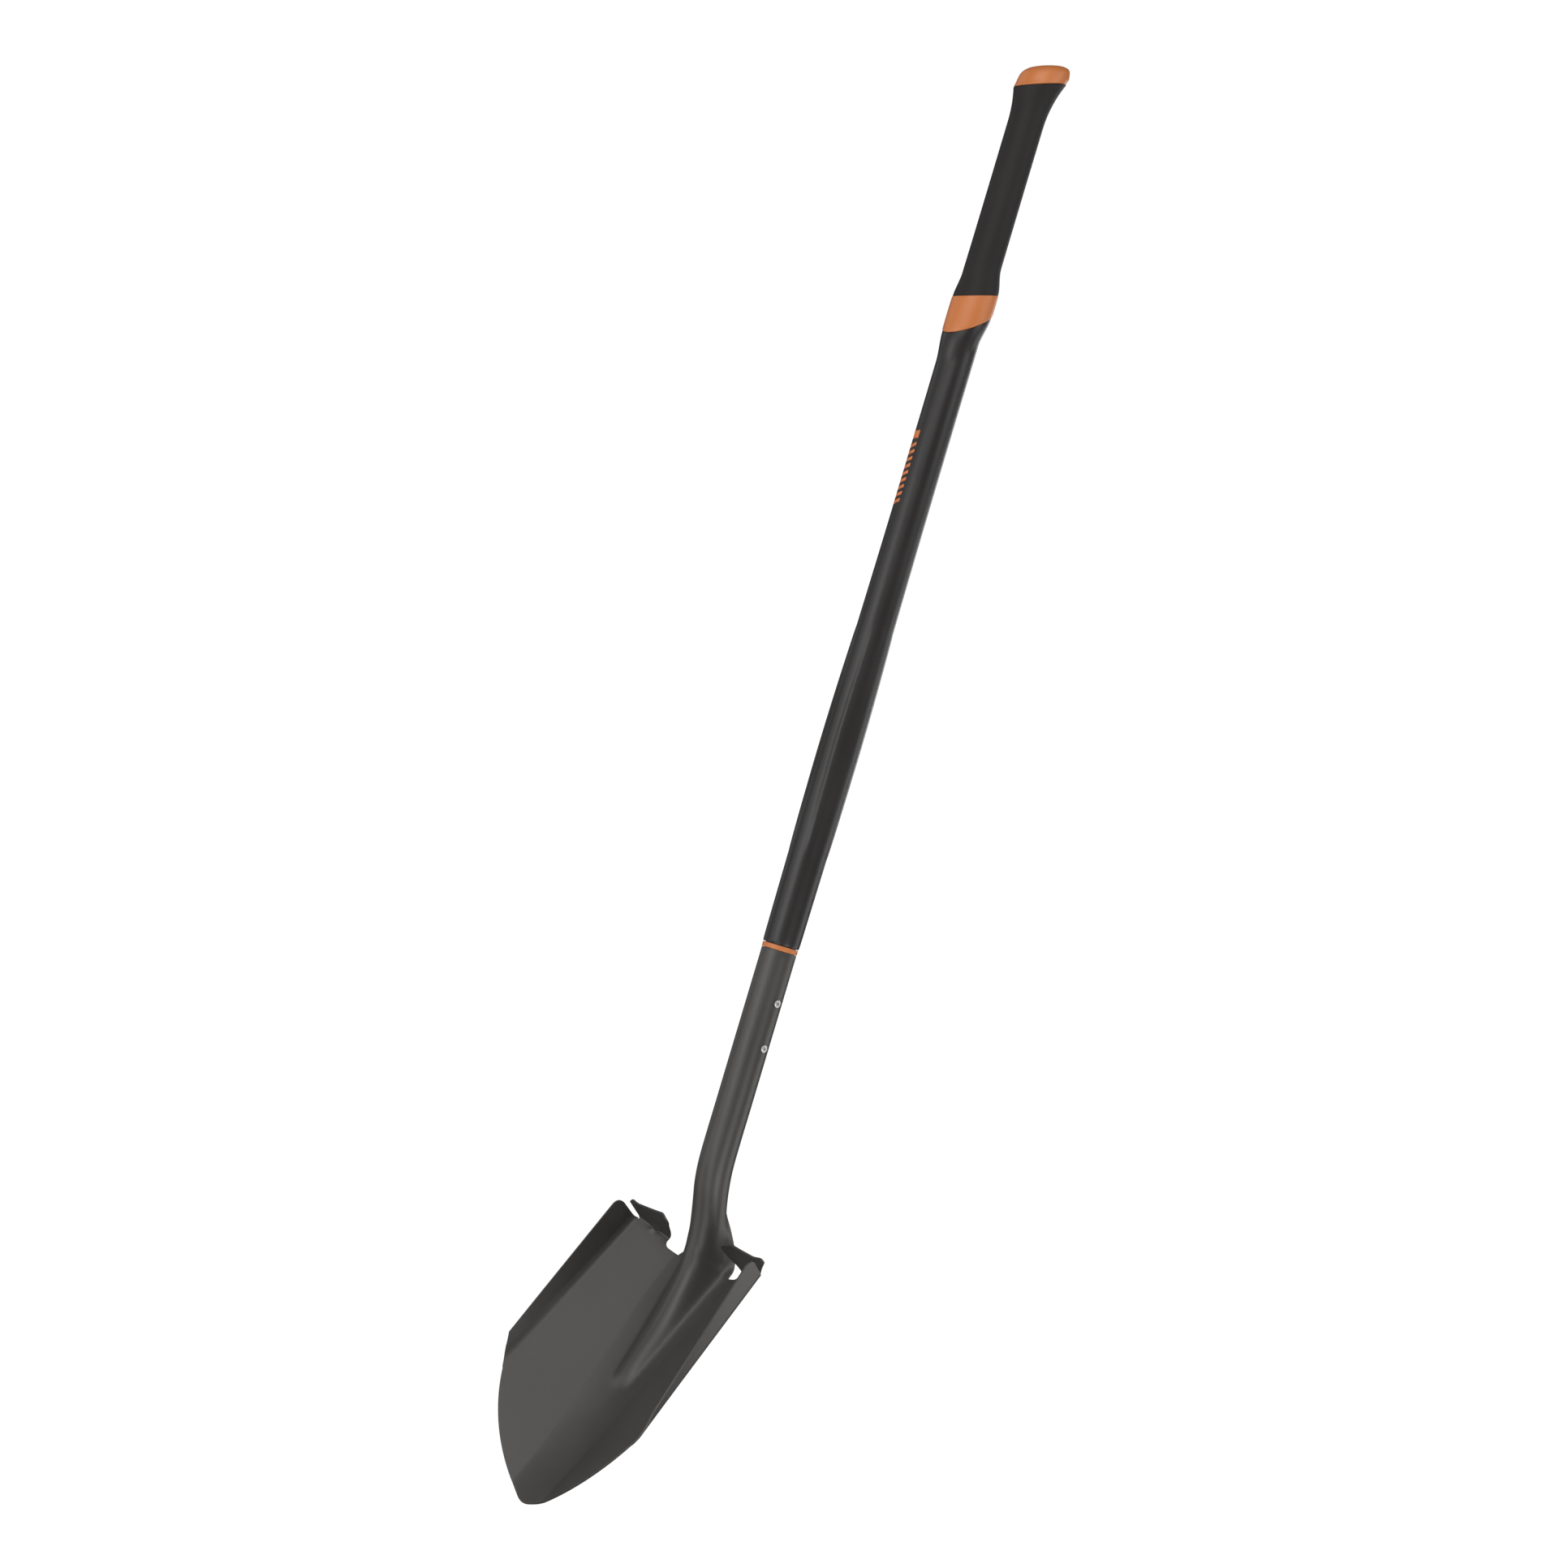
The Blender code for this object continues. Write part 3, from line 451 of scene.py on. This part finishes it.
class Column:
    """One line down the blade: on the plate, in the bend at the fold, or up the wall."""

    def __init__(self, kind, place):
        self.kind, self.place = kind, place
        self.low = self.bottom()
        self.high = self.top()

    def section(self, s):
        """Place across and height of the line at s."""
        if self.kind == "plate":
            x = self.place / FOLD_HALF * half_width(s)
            return x, plate(x, s)
        if self.kind == "bend":
            return bend(s, self.place)
        return wall_point(FOLD_BEND + self.place * (wall_high(s) - FOLD_BEND), s)

    def top(self):
        """Upper end: under the notch, at the tread's fold or round the wall's corner."""
        if self.kind == "plate":
            if self.place <= TREAD_IN - NOTCH_WIDE:
                return NOTCH_LOW
            if self.place < TREAD_IN:
                t = (TREAD_IN - self.place) / NOTCH_WIDE
                rest = NOTCH_LOW - TREAD_BEND
                return TREAD_BEND + rest * math.sqrt(max(1.0 - (1.0 - t)**2, 0.0))
            return TREAD_BEND
        if self.kind == "bend":
            return WALL_START * min(1.0, 0.5 + self.place)
        rest = wall_high(0.0) - FOLD_BEND
        over = max(self.place * rest - (rest - WALL_CORNER), 0.0)
        return WALL_START + WALL_CORNER - math.sqrt(WALL_CORNER**2 - over**2)

    def bottom(self):
        """Lower end: on the outline or at the end of the wall."""
        if self.kind == "plate":
            return plate_bottom(self.place)
        if self.kind == "bend":
            edge = plate_bottom(FOLD_HALF - FOLD_BEND)
            return edge + (WALL_END_BEND - edge) * self.place
        return WALL_END_BEND + (WALL_END_EDGE - WALL_END_BEND) * self.place

    def point(self, side, share):
        """Point at this share of the way down the line."""
        s = self.high + (self.low - self.high) * share
        x, h = self.section(s)
        return blade_point(side * x, s, h)


STRAP_FINE = 36
STRAP_SHARES = [k / STRAP_FINE for k in range(STRAP_FINE + 1)]
BLADE_ROWS, BEND_COLUMNS, WALL_COLUMNS = 120, 9, 16
# columns close up towards the notch's rounded corner and both ends of the tread
NOTCH_PLACES = [36.5, 38.0, 39.5, 41.0, 42.5, 44.0, 45.2, 46.2, 47.2, 48.2, 49.2, 50.0, 50.7, 51.2,
                51.6, 51.85]
TREAD_START_PLACES, TREAD_END_PLACES = [52.0, 52.6, 53.4, 54.4], [82.8, 83.6, 84.3, 84.9]


def blade_columns():
    """Columns of one half, how many come before the tread and how many lie along it."""
    last = len(STRAP_PLACES) - 1
    places = [float(np.interp(u * last, range(last + 1), STRAP_PLACES)) for u in STRAP_SHARES]
    places += NOTCH_PLACES
    tread = TREAD_START_PLACES + [55.5 + 1.2 * k for k in range(23)] + TREAD_END_PLACES
    columns = [Column("plate", p) for p in places + tread]
    columns += [Column("bend", (k + 1) / BEND_COLUMNS) for k in range(BEND_COLUMNS)]
    columns += [Column("wall", 1.0 - (1.0 - (k + 1) / WALL_COLUMNS)**1.5)
                for k in range(WALL_COLUMNS)]
    return columns, len(places), len(tread)


def cubic(p0, p1, p2, p3, t):
    """Point of the cubic curve with these control points."""
    u = 1.0 - t
    return tuple(u**3 * a + 3 * u * u * t * b + 3 * u * t * t * c + t**3 * d
                 for a, b, c, d in zip(p0, p1, p2, p3))


ROUND_HANDLE = 0.5523    # handle of a cubic curve that draws a quarter circle
STRAP_REACH = 8.0        # least depth that the strap's edge handle is taken from
STRAP_RUN_ON = 12.0      # second plate row the strap's surface is led towards
STRAP_STEPS = [8, 8, 8, 8, 6, 6, 6, 6, 6, 6, 6]


def strap_section(half, widest, edge_x, edge_depth, heading, share):
    """Place across and depth on the strap's section, from its middle out to its edge."""
    k = ROUND_HANDLE
    flare = 0.5 * math.atan2(max(edge_x - half, 0.0), edge_depth - widest)
    out, back = math.sin(flare), math.cos(flare)
    if share <= 0.5:
        return cubic((0.0, 0.0), (half * k, 0.0),
                     (half - widest * k * out, widest * (1 - k * back)), (half, widest),
                     share * 2.0)
    turn = math.radians(heading)
    reach = k * max(edge_depth - widest, STRAP_REACH)
    return cubic((half, widest), (half + reach * out, widest + reach * back),
                 (edge_x - math.cos(turn) * reach, edge_depth - math.sin(turn) * reach),
                 (edge_x, edge_depth), share * 2.0 - 1.0)


def strap_rows(side, columns):
    """Fine rows of the rolled strap, running smoothly on into the plate's first rows."""
    stations = []
    for y, z, lean, half, widest, edge_x, edge_depth, heading in STRAP:
        back = Vector((0.0, math.cos(math.radians(lean)), -math.sin(math.radians(lean))))
        row = []
        for share in STRAP_SHARES:
            x, depth = strap_section(half, widest, edge_x, edge_depth, heading, share)
            row.append(Vector((side * x, y, z)) + back * depth)
        stations.append(row)
    for s in (NOTCH_LOW, NOTCH_LOW + STRAP_RUN_ON):
        row = []
        for column in columns[:len(STRAP_SHARES)]:
            x, h = column.section(s)
            row.append(blade_point(side * x, s, h))
        stations.append(row)
    rows = []
    for i, count in enumerate(STRAP_STEPS):
        before, a = stations[max(i - 1, 0)], stations[i]
        b, after = stations[i + 1], stations[min(i + 2, len(stations) - 1)]
        for k in range(count):
            t = k / count
            row = []
            for p0, p1, p2, p3 in zip(before, a, b, after):
                w = (p2 - p1).length
                m1 = (p2 - p0) * (w / max((p2 - p1).length + (p1 - p0).length, 1e-6))
                m2 = (p3 - p1) * (w / max((p3 - p2).length + (p2 - p1).length, 1e-6))
                row.append(p1 * (2 * t**3 - 3 * t**2 + 1) + m1 * (t**3 - 2 * t**2 + t)
                           + p2 * (3 * t**2 - 2 * t**3) + m2 * (t**3 - t**2))
            rows.append(row)
    return rows


def tread_point(x, high, side):
    """Point of the tread at this height over the plate's facet."""
    s = -TREAD_LEAN * high
    s += TREAD_INNER_DROP * smooth_step((TREAD_IN - x) / TREAD_INNER_RUN)
    outer = smooth_step((x - TREAD_OUTER_START) / TREAD_OUTER_RUN)
    s -= TREAD_OUTER_LIFT * outer * min(high / TREAD_OUTER_HIGH, 1.0)
    s += TREAD_MARK * gusset(x, high)
    return blade_point(side * x, s, -FACET_SLOPE * (FOLD_HALF - x) + high)


def tread_top(x):
    """Height of the tread's edge over the folds, with its two rounded corners."""
    near = min((x - TREAD_EDGE_IN) / TREAD_CORNER_IN, 1.0)
    far = min((TREAD_EDGE_OUT - x) / TREAD_CORNER_OUT, 1.0)
    low_in = TREAD_CORNER_IN * (1.0 - math.sqrt(max(1.0 - (1.0 - near)**2, 0.0)))
    low_out = TREAD_CORNER_OUT * (1.0 - math.sqrt(max(1.0 - (1.0 - far)**2, 0.0)))
    return along(TREAD_EDGE, x) - low_in - low_out


def tread_rows(side, columns):
    """Rows of the tread: through its small bend, then up the flap."""
    bends, flaps = 5, 22
    rows = [[] for _ in range(bends + flaps)]
    for column in columns:
        x0 = column.place
        t = (x0 - TREAD_IN) / (TREAD_OUT - TREAD_IN)
        x1 = TREAD_EDGE_IN + (TREAD_EDGE_OUT - TREAD_EDGE_IN) * t
        high = tread_top(x1) + FACET_SLOPE * (FOLD_HALF - x1)
        start, corner = column.point(side, 0.0), tread_point(x0, 0.0, side)
        xb = x0 + (x1 - x0) * TREAD_BEND / high
        flap = tread_point(xb, TREAD_BEND, side)
        for k in range(bends):
            u = (k + 1) / bends
            rows[k].append(start * (1 - u)**2 + corner * (2 * u * (1 - u)) + flap * u**2)
        for k in range(flaps):
            u = 1.0 - (1.0 - (k + 1) / flaps)**1.3
            rise = TREAD_BEND + (high - TREAD_BEND) * u
            rows[bends + k].append(tread_point(xb + (x1 - xb) * u, rise, side))
    return rows


def build_blade():
    """One bent sheet: plate, side walls, treads and rolled strap."""
    columns, plate_count, tread_count = blade_columns()
    points, index = [], {}

    def vertex(key, p):
        if key not in index:
            index[key] = len(points)
            points.append(p)
        return index[key]

    def strip(rows):
        return [(rows[r][c], rows[r][c + 1], rows[r + 1][c + 1], rows[r + 1][c])
                for r in range(len(rows) - 1) for c in range(len(rows[0]) - 1)]

    faces = []
    for side in (-1, 1):
        grid = [[vertex(("plate", side if c else 0, c, r), column.point(side, r / BLADE_ROWS))
                 for c, column in enumerate(columns)] for r in range(BLADE_ROWS + 1)]
        strap = [[vertex(("strap", side if c else 0, c, r), p) for c, p in enumerate(row)]
                 for r, row in enumerate(strap_rows(side, columns))]
        strap.append(grid[0][:len(STRAP_SHARES)])
        fold = columns[plate_count:plate_count + tread_count]
        tread = [grid[0][plate_count:plate_count + tread_count]]
        tread += [[vertex(("tread", side, c, r), p) for c, p in enumerate(row)]
                  for r, row in enumerate(tread_rows(side, fold))]
        half = strip(grid) + strip(strap) + [f[::-1] for f in strip(tread)]
        faces += half if side < 0 else [f[::-1] for f in half]
    blade = add_piece("blade_sheet", points, faces, POWDER, ("blade",), sharp=50.0)
    solid = blade.modifiers.new("sheet", "SOLIDIFY")
    solid.thickness = SHEET * MM
    solid.offset = -1.0
    solid.use_even_offset = True
    solid.use_quality_normals = True
    edge = blade.modifiers.new("edge", "BEVEL")
    edge.width = EDGE_ROUND * MM
    edge.segments = 2
    edge.limit_method = "ANGLE"
    edge.angle_limit = math.radians(60.0)
    edge.use_clamp_overlap = True
    return blade


# ---------------------------------------------------------------- shaft pieces

def build_socket_ring():
    """Orange collar ring with rounded edges."""
    top, low, bore = -GAP, -GAP - RING_HIGH, NECK_R + GAP
    rings = [ring_at(low, bore), ring_at(low, RING_R - RING_ROUND)]
    for k in range(1, 7):
        turn = 0.25 * math.pi * k / 3.0
        rings.append(ring_at(low + RING_ROUND - RING_ROUND * math.cos(turn),
                             RING_R - RING_ROUND + RING_ROUND * math.sin(turn)))
    for k in range(0, 7):
        turn = 0.25 * math.pi * k / 3.0
        rings.append(ring_at(top - RING_ROUND + RING_ROUND * math.sin(turn),
                             RING_R - RING_ROUND + RING_ROUND * math.cos(turn)))
    rings.append(ring_at(top, bore))
    points, faces = loft(rings, closed=True)
    return add_piece("socket_ring_fine", points, faces, ORANGE, ("socket_ring",), 50.0)


def shaft_shape(z, turn):
    """Radius and middle of the jacket, with its swell and its rise to the band."""
    radius = along(SHAFT_RADII, z)
    foot = BAND_LOW_Z - math.tan(BAND_LOW_TILT) * BAND_R * math.cos(turn)
    near = smooth_step(1.0 - (foot - z) / BAND_FOOT)
    radius += (BAND_R - JACKET_UNDER_BAND - radius) * near
    ends = 1.0 - ((z - (SWELL_LOW + SWELL_TOP) / 2.0) / ((SWELL_TOP - SWELL_LOW) / 2.0))**2
    if ends > 0.0:
        edge = math.radians(SWELL_EDGE - SWELL_EDGE_IN * ends)
        away = abs(math.atan2(math.sin(turn), math.cos(turn)))
        panel = smooth_step((away - edge) / math.radians(SWELL_SOFT) + 0.5)
        radius += SWELL_RISE * panel * ends**SWELL_POWER
    return radius, BAND_OFF * near


SLANT_RINGS, GRIP_RINGS = 24, 72


def build_shaft_sleeve():
    """Black jacket from its neck in the socket up to the slanted band."""
    low_end = BAND_LOW_Z - GAP
    rings = [ring_at(NECK_LOW, JACKET_BORE_R), ring_at(NECK_LOW, NECK_R), ring_at(GAP, NECK_R)]
    rings += [ring_at(GAP, JACKET_EDGE_R)]
    heights = [0.6, 1.2, 2.2, 4.0, 8.0] + [12.0 + 6.0 * k for k in range(96)]
    rings += [shaped_ring(z, 0.0, shaft_shape) for z in heights]
    level_end = heights[-1]
    for k in range(1, SLANT_RINGS + 1):
        share = k / SLANT_RINGS
        z = level_end + (low_end - level_end) * share
        rings.append(shaped_ring(z, BAND_LOW_TILT * share**0.5, shaft_shape))
    rings.append(ring_at(low_end, JACKET_BORE_R, BAND_LOW_TILT))
    points, faces = loft(rings, closed=True)
    return add_piece("shaft_jacket", points, faces, JACKET, ("shaft_sleeve",), 35.0)


def build_hand_stop_band():
    """Orange band, slanted below and above."""
    low, high = BAND_LOW_Z, BAND_TOP_Z - GAP
    low_slope, high_slope = math.tan(BAND_LOW_TILT), math.tan(BAND_TOP_TILT)
    rings = [ring_at(low, JACKET_BORE_R, BAND_LOW_TILT)]
    for share, inset in BAND_PROFILE:
        tilt = math.atan(low_slope + (high_slope - low_slope) * share)
        rings.append(ring_at(low + (high - low) * share, BAND_R - inset, tilt, BAND_OFF))
    rings.append(ring_at(high, JACKET_BORE_R, BAND_TOP_TILT))
    points, faces = loft(rings, closed=True)
    return add_piece("hand_stop_fine", points, faces, ORANGE, ("hand_stop_band",), 50.0)


def grip_shape(z, turn):
    """Radius and middle of the grip, from the band to the flare at the cap."""
    foot = BAND_TOP_Z - math.tan(BAND_TOP_TILT) * BAND_R * math.cos(turn)
    near = 1.0 - smooth_step((z - foot) / BAND_HEAD)
    radius = along(GRIP_RADII, z)
    over = max(z - POMMEL_FLARE_START, 0.0)
    radius += (BAND_R - GRIP_UNDER_BAND - radius) * near
    radius += POMMEL_FLARE_R - math.sqrt(POMMEL_FLARE_R**2 - over**2)
    return radius, BAND_OFF * near


def build_grip_sleeve():
    """Soft sleeve between the band and the cap."""
    low, high = BAND_TOP_Z, CAP_Z - GAP
    low_slope, high_slope = math.tan(BAND_TOP_TILT), math.tan(CAP_TILT)
    rings = [ring_at(low, JACKET_BORE_R, BAND_TOP_TILT)]
    for k in range(GRIP_RINGS + 1):
        share = k / GRIP_RINGS
        tilt = math.atan(low_slope + (high_slope - low_slope) * share)
        rings.append(shaped_ring(low + (high - low) * share, tilt, grip_shape))
    rings.append(ring_at(high, JACKET_BORE_R, CAP_TILT))
    points, faces = loft(rings, closed=True)
    return add_piece("grip_soft", points, faces, GRIP, ("grip_sleeve",), 35.0)


def build_pommel_cap():
    """Orange cap with a spigot down the core tube's bore."""
    joint_y, joint, joint_half, joint_depth = CAP_SECTIONS[0]
    rings = [ring_at(SPIGOT_LOW, SPIGOT_R - SPIGOT_LEAD),
             ring_at(SPIGOT_LOW + SPIGOT_LEAD_HIGH, SPIGOT_R), ring_at(joint, SPIGOT_R, CAP_TILT),
             ring_at(joint, joint_half - CAP_EDGE, CAP_TILT, joint_y, joint_depth - CAP_EDGE)]
    for k in range(1, CAP_FOOT_RINGS + 1):
        t = k / CAP_FOOT_RINGS
        y, z, half, depth = (p + (q - p) * t for p, q in zip(CAP_SECTIONS[0], CAP_SECTIONS[1]))
        rings.append(ring_at(z, half, CAP_TILT, y, depth))
    upper = CAP_SECTIONS[1:]
    track = [0.0]
    for a, b in zip(upper[:-1], upper[1:]):
        track.append(track[-1] + math.hypot(b[1] - a[1], b[2] - a[2]))
    columns = [[(at, row[k]) for at, row in zip(track, upper)] for k in range(4)]
    for k in range(1, CAP_RINGS + 1):
        at = track[-1] * k / CAP_RINGS
        y, z, half, depth = (along(c, at) for c in columns)
        rings.append(ring_at(z, half, CAP_TILT, y, depth))
    points, faces = loft(rings)
    return add_piece("pommel_cap_fine", points, faces, ORANGE, ("pommel_cap",), 24.0)


# ---------------------------------------------------------------- rivets

def turned_along_x(profile, side, z, sides=48):
    """Rings of an (x, radius) profile turned about an axis across the shaft."""
    rings = []
    for x, radius in profile:
        ring = []
        for k in range(sides):
            turn = side * 2.0 * math.pi * k / sides
            ring.append(Vector((side * x, radius * math.cos(turn), z + radius * math.sin(turn))))
        rings.append(ring)
    return rings


def build_rivet(level, hand):
    """Hollow blind rivet with a bulb inside the core and a domed head."""
    side = 1 if hand == "right" else -1
    seat, bulb = SOCKET_R + RIVET_LIFT, CORE_BORE_R - GAP
    top, end = seat + HEAD_HIGH, bulb - BULB_LONG
    body = [(end, 1.2), (end, 2.3), (end + 0.8, 2.9), (bulb - 0.9, 2.9), (bulb, 2.0), (seat, 2.0),
            (seat, 3.9), (seat + 0.3, 4.0)]
    for k in range(1, 10):
        turn = 0.5 * math.pi * k / 9.0
        body.append((seat + 0.3 + 1.2 * math.sin(turn) ** 1.1, 1.75 + 2.25 * math.cos(turn)))
    body += [(top - 0.12, 1.4), (top - 0.45, 1.2)]
    points, faces = loft(turned_along_x(body, side, RIVET_Z[level]), closed=True)
    node = "rivet_%s_%s" % (level, hand)
    return add_piece(node + "_fine", points, faces, RIVET, (node,), 40.0)


def build_mandrel(level, hand):
    """Stem left in a pulled rivet."""
    side = 1 if hand == "right" else -1
    top = SOCKET_R + HEAD_HIGH - STEM_SUNK
    end = CORE_BORE_R - GAP - BULB_LONG - GAP
    stem = [(end - 2.0, 1.0), (end - 1.4, 1.8), (end - 0.4, 1.9), (end, 0.9), (top - 0.15, 0.9),
            (top, 0.72)]
    points, faces = loft(turned_along_x(stem, side, RIVET_Z[level], 32))
    node = "mandrel_%s_%s" % (level, hand)
    return add_piece(node + "_fine", points, faces, STEM, (node,), 40.0)


# ---------------------------------------------------------------- printed mark

MARK_BARS, MARK_LOW_Z, MARK_STEP, MARK_SLANT = 9, 437.5, 7.0, 3.0
MARK_BLOCK_LOW_Z, MARK_BLOCK_TOP_Z = 504.0, 512.0
MARK_LEFT, MARK_RIGHT = -48.0, -5.0     # degrees round the shaft from its front
INK = 0.1


def build_mark():
    """Plain row of slanted bars printed along the jacket, raised by the thickness of the ink."""
    points, faces = [], []
    across, up = 10, 3

    def bar(z_low, z_high, slant, start, end):
        first = len(points)
        for i in range(across + 1):
            u = i / across
            turn = math.radians(start + (end - start) * u)
            for k in range(up + 1):
                z = z_low + (z_high - z_low) * k / up + slant * u
                radius = shaft_shape(z, turn)[0] + INK / 2.0
                points.append(Vector((radius * math.sin(turn), -radius * math.cos(turn), z)))
        for i in range(across):
            for k in range(up):
                a = first + i * (up + 1) + k
                faces.append((a, a + up + 1, a + up + 2, a + 1))

    for n in range(MARK_BARS):
        low = MARK_LOW_Z + MARK_STEP * n
        bar(low, low + MARK_STEP / 2.0, MARK_SLANT, MARK_LEFT, MARK_RIGHT)
    bar(MARK_BLOCK_LOW_Z, MARK_BLOCK_TOP_Z, 0.0, MARK_LEFT, MARK_RIGHT)
    mark = add_piece("shaft_mark", points, faces, PRINT, ())
    ink = mark.modifiers.new("ink", "SOLIDIFY")
    ink.thickness, ink.offset = INK * MM, -1.0
    return mark


# ---------------------------------------------------------------- studio

FLOOR_R, FLOOR_DROP = 1.4, 0.001                        # metres
FLOOR_FADE_START, FLOOR_FADE_END, FLOOR_SOLID = 0.05, 0.9, 0.5      # alpha falls over these


def build_floor(low):
    """Pale round floor that fades out into the white backdrop."""
    rings, sides, points, faces = 24, 96, [(0.0, 0.0, low)], []
    for r in range(1, rings + 1):
        for k in range(sides):
            turn = 2.0 * math.pi * k / sides
            out = FLOOR_R * r / rings
            points.append((out * math.cos(turn), out * math.sin(turn), low))
    for k in range(sides):
        faces.append((0, 1 + k, 1 + (k + 1) % sides))
    for r in range(rings - 1):
        for k in range(sides):
            a, b = 1 + r * sides + k, 1 + r * sides + (k + 1) % sides
            faces.append((a, a + sides, b + sides, b))
    mesh = bpy.data.meshes.new("floor")
    mesh.from_pydata(points, [], faces)
    material, tree, shader = new_material("floor_white")
    shader.inputs["Base Color"].default_value = (0.93, 0.93, 0.93, 1.0)
    shader.inputs["Roughness"].default_value = 0.9
    coords = tree.nodes.new("ShaderNodeTexCoord")
    length = add_node(tree, "ShaderNodeVectorMath", operation="LENGTH")
    tree.links.new(coords.outputs["Object"], length.inputs[0])
    fade = spread(tree, length.outputs["Value"], FLOOR_SOLID, 0.0, FLOOR_FADE_START,
                  FLOOR_FADE_END)
    tree.links.new(fade, shader.inputs["Alpha"])
    mesh.materials.append(material)
    floor = bpy.data.objects.new("floor", mesh)
    bpy.context.scene.collection.objects.link(floor)


SOFTBOX_DISTANCE, SOFTBOX_WIDTH, SOFTBOX_HEIGHT = 2.3, 1.2, 1.6
LIGHT_TARGET = Vector((0.0, 0.0, -0.75))    # metres, beside the collar ring
BACKDROP, SURROUND = 1.02, 0.06
SOFTBOXES = [       # name, azimuth (0 in front, 90 to the right), elevation, power in watts
    ("key", 0.0, 8.0, 19.0), ("key_left", -30.0, 8.0, 7.0), ("rim_back", 150.0, 8.0, 10.0),
    ("fill_left", -82.0, 0.0, 3.0), ("high_front", 30.0, 48.0, 18.0),
    ("high_left", -70.0, 43.0, 4.0), ("high_right", 110.0, 43.0, 12.0),
    ("low_left", -40.0, -28.0, 7.0), ("low_front", 20.0, -28.0, 12.0),
    ("low_right", 80.0, -28.0, 22.0), ("low_back", 140.0, -28.0, 11.0),
    ("back_left", -165.0, 25.0, 12.0)]


def add_softbox(name, azimuth, elevation, power, target):
    """Soft area light that faces the target from this azimuth and elevation in degrees."""
    a, e = math.radians(azimuth), math.radians(elevation)
    back = Vector((math.sin(a) * math.cos(e), -math.cos(a) * math.cos(e), math.sin(e)))
    light = bpy.data.lights.new(name, "AREA")
    light.shape = "RECTANGLE"
    light.size, light.size_y = SOFTBOX_WIDTH, SOFTBOX_HEIGHT
    light.energy = power
    obj = bpy.data.objects.new(name, light)
    obj.location = target + back * SOFTBOX_DISTANCE
    obj.rotation_mode = "QUATERNION"
    obj.rotation_quaternion = back.to_track_quat("Z", "Y")
    bpy.context.scene.collection.objects.link(obj)
    obj.visible_camera = False


def build_world():
    """White backdrop for the camera, and a dimmer even surround for the light on the object."""
    world = bpy.data.worlds.new("studio")
    bpy.context.scene.world = world
    world.use_nodes = True
    tree = world.node_tree
    tree.nodes.clear()
    out = tree.nodes.new("ShaderNodeOutputWorld")
    seen = add_node(tree, "ShaderNodeBackground", Color=(1.0, 1.0, 1.0, 1.0), Strength=BACKDROP)
    lit = add_node(tree, "ShaderNodeBackground", Color=(1.0, 1.0, 1.0, 1.0), Strength=SURROUND)
    path = tree.nodes.new("ShaderNodeLightPath")
    mix = tree.nodes.new("ShaderNodeMixShader")
    tree.links.new(path.outputs["Is Camera Ray"], mix.inputs["Fac"])
    tree.links.new(lit.outputs["Background"], mix.inputs[1])
    tree.links.new(seen.outputs["Background"], mix.inputs[2])
    tree.links.new(mix.outputs["Shader"], out.inputs["Surface"])


CAMERA_TURN = math.radians(43.0)
CAMERA_ROLL = math.radians(16.6)
CAMERA_DISTANCE, CAMERA_ASIDE = 1.8168, 0.0196     # metres from the collar ring
LENS, SENSOR, SHIFT_X, SHIFT_Y = 43.23, 36.0, 0.0145, 0.0993


def build_camera():
    """Level with the ring, turned 43 degrees to the right of the front, and rolled."""
    data = bpy.data.cameras.new("camera")
    data.lens, data.sensor_width = LENS, SENSOR
    data.shift_x, data.shift_y = SHIFT_X, SHIFT_Y
    data.clip_start, data.clip_end = 0.05, 50.0
    camera = bpy.data.objects.new("camera", data)
    back = Vector((math.sin(CAMERA_TURN), -math.cos(CAMERA_TURN), 0.0))
    side = Vector((math.cos(CAMERA_TURN), math.sin(CAMERA_TURN), 0.0))
    up = Vector((0.0, 0.0, 1.0))
    right = side * math.cos(CAMERA_ROLL) + up * math.sin(CAMERA_ROLL)
    top = up * math.cos(CAMERA_ROLL) - side * math.sin(CAMERA_ROLL)
    turn = Matrix((right, top, back)).transposed().to_4x4()
    place = RING * MM + back * CAMERA_DISTANCE - side * CAMERA_ASIDE
    camera.matrix_world = Matrix.Translation(place) @ turn
    bpy.context.scene.collection.objects.link(camera)
    bpy.context.scene.camera = camera


def main():
    """Build every piece, then the floor, the lights and the camera."""
    build_blade()
    build_socket_ring()
    build_shaft_sleeve()
    build_hand_stop_band()
    build_grip_sleeve()
    build_pommel_cap()
    build_mark()
    for level in ("upper", "lower"):
        for hand in ("right", "left"):
            build_rivet(level, hand)
            build_mandrel(level, hand)
    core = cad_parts["core_tube"]
    core.data.materials.clear()
    core.data.materials.append(FIBREGLASS)
    build_floor(cad_box[0].z - FLOOR_DROP)
    build_world()
    for name, azimuth, elevation, power in SOFTBOXES:
        add_softbox(name, azimuth, elevation, power, LIGHT_TARGET)
    build_camera()
    bpy.context.scene.view_settings.view_transform = "Standard"


main()
bpy.context.view_layer.update()
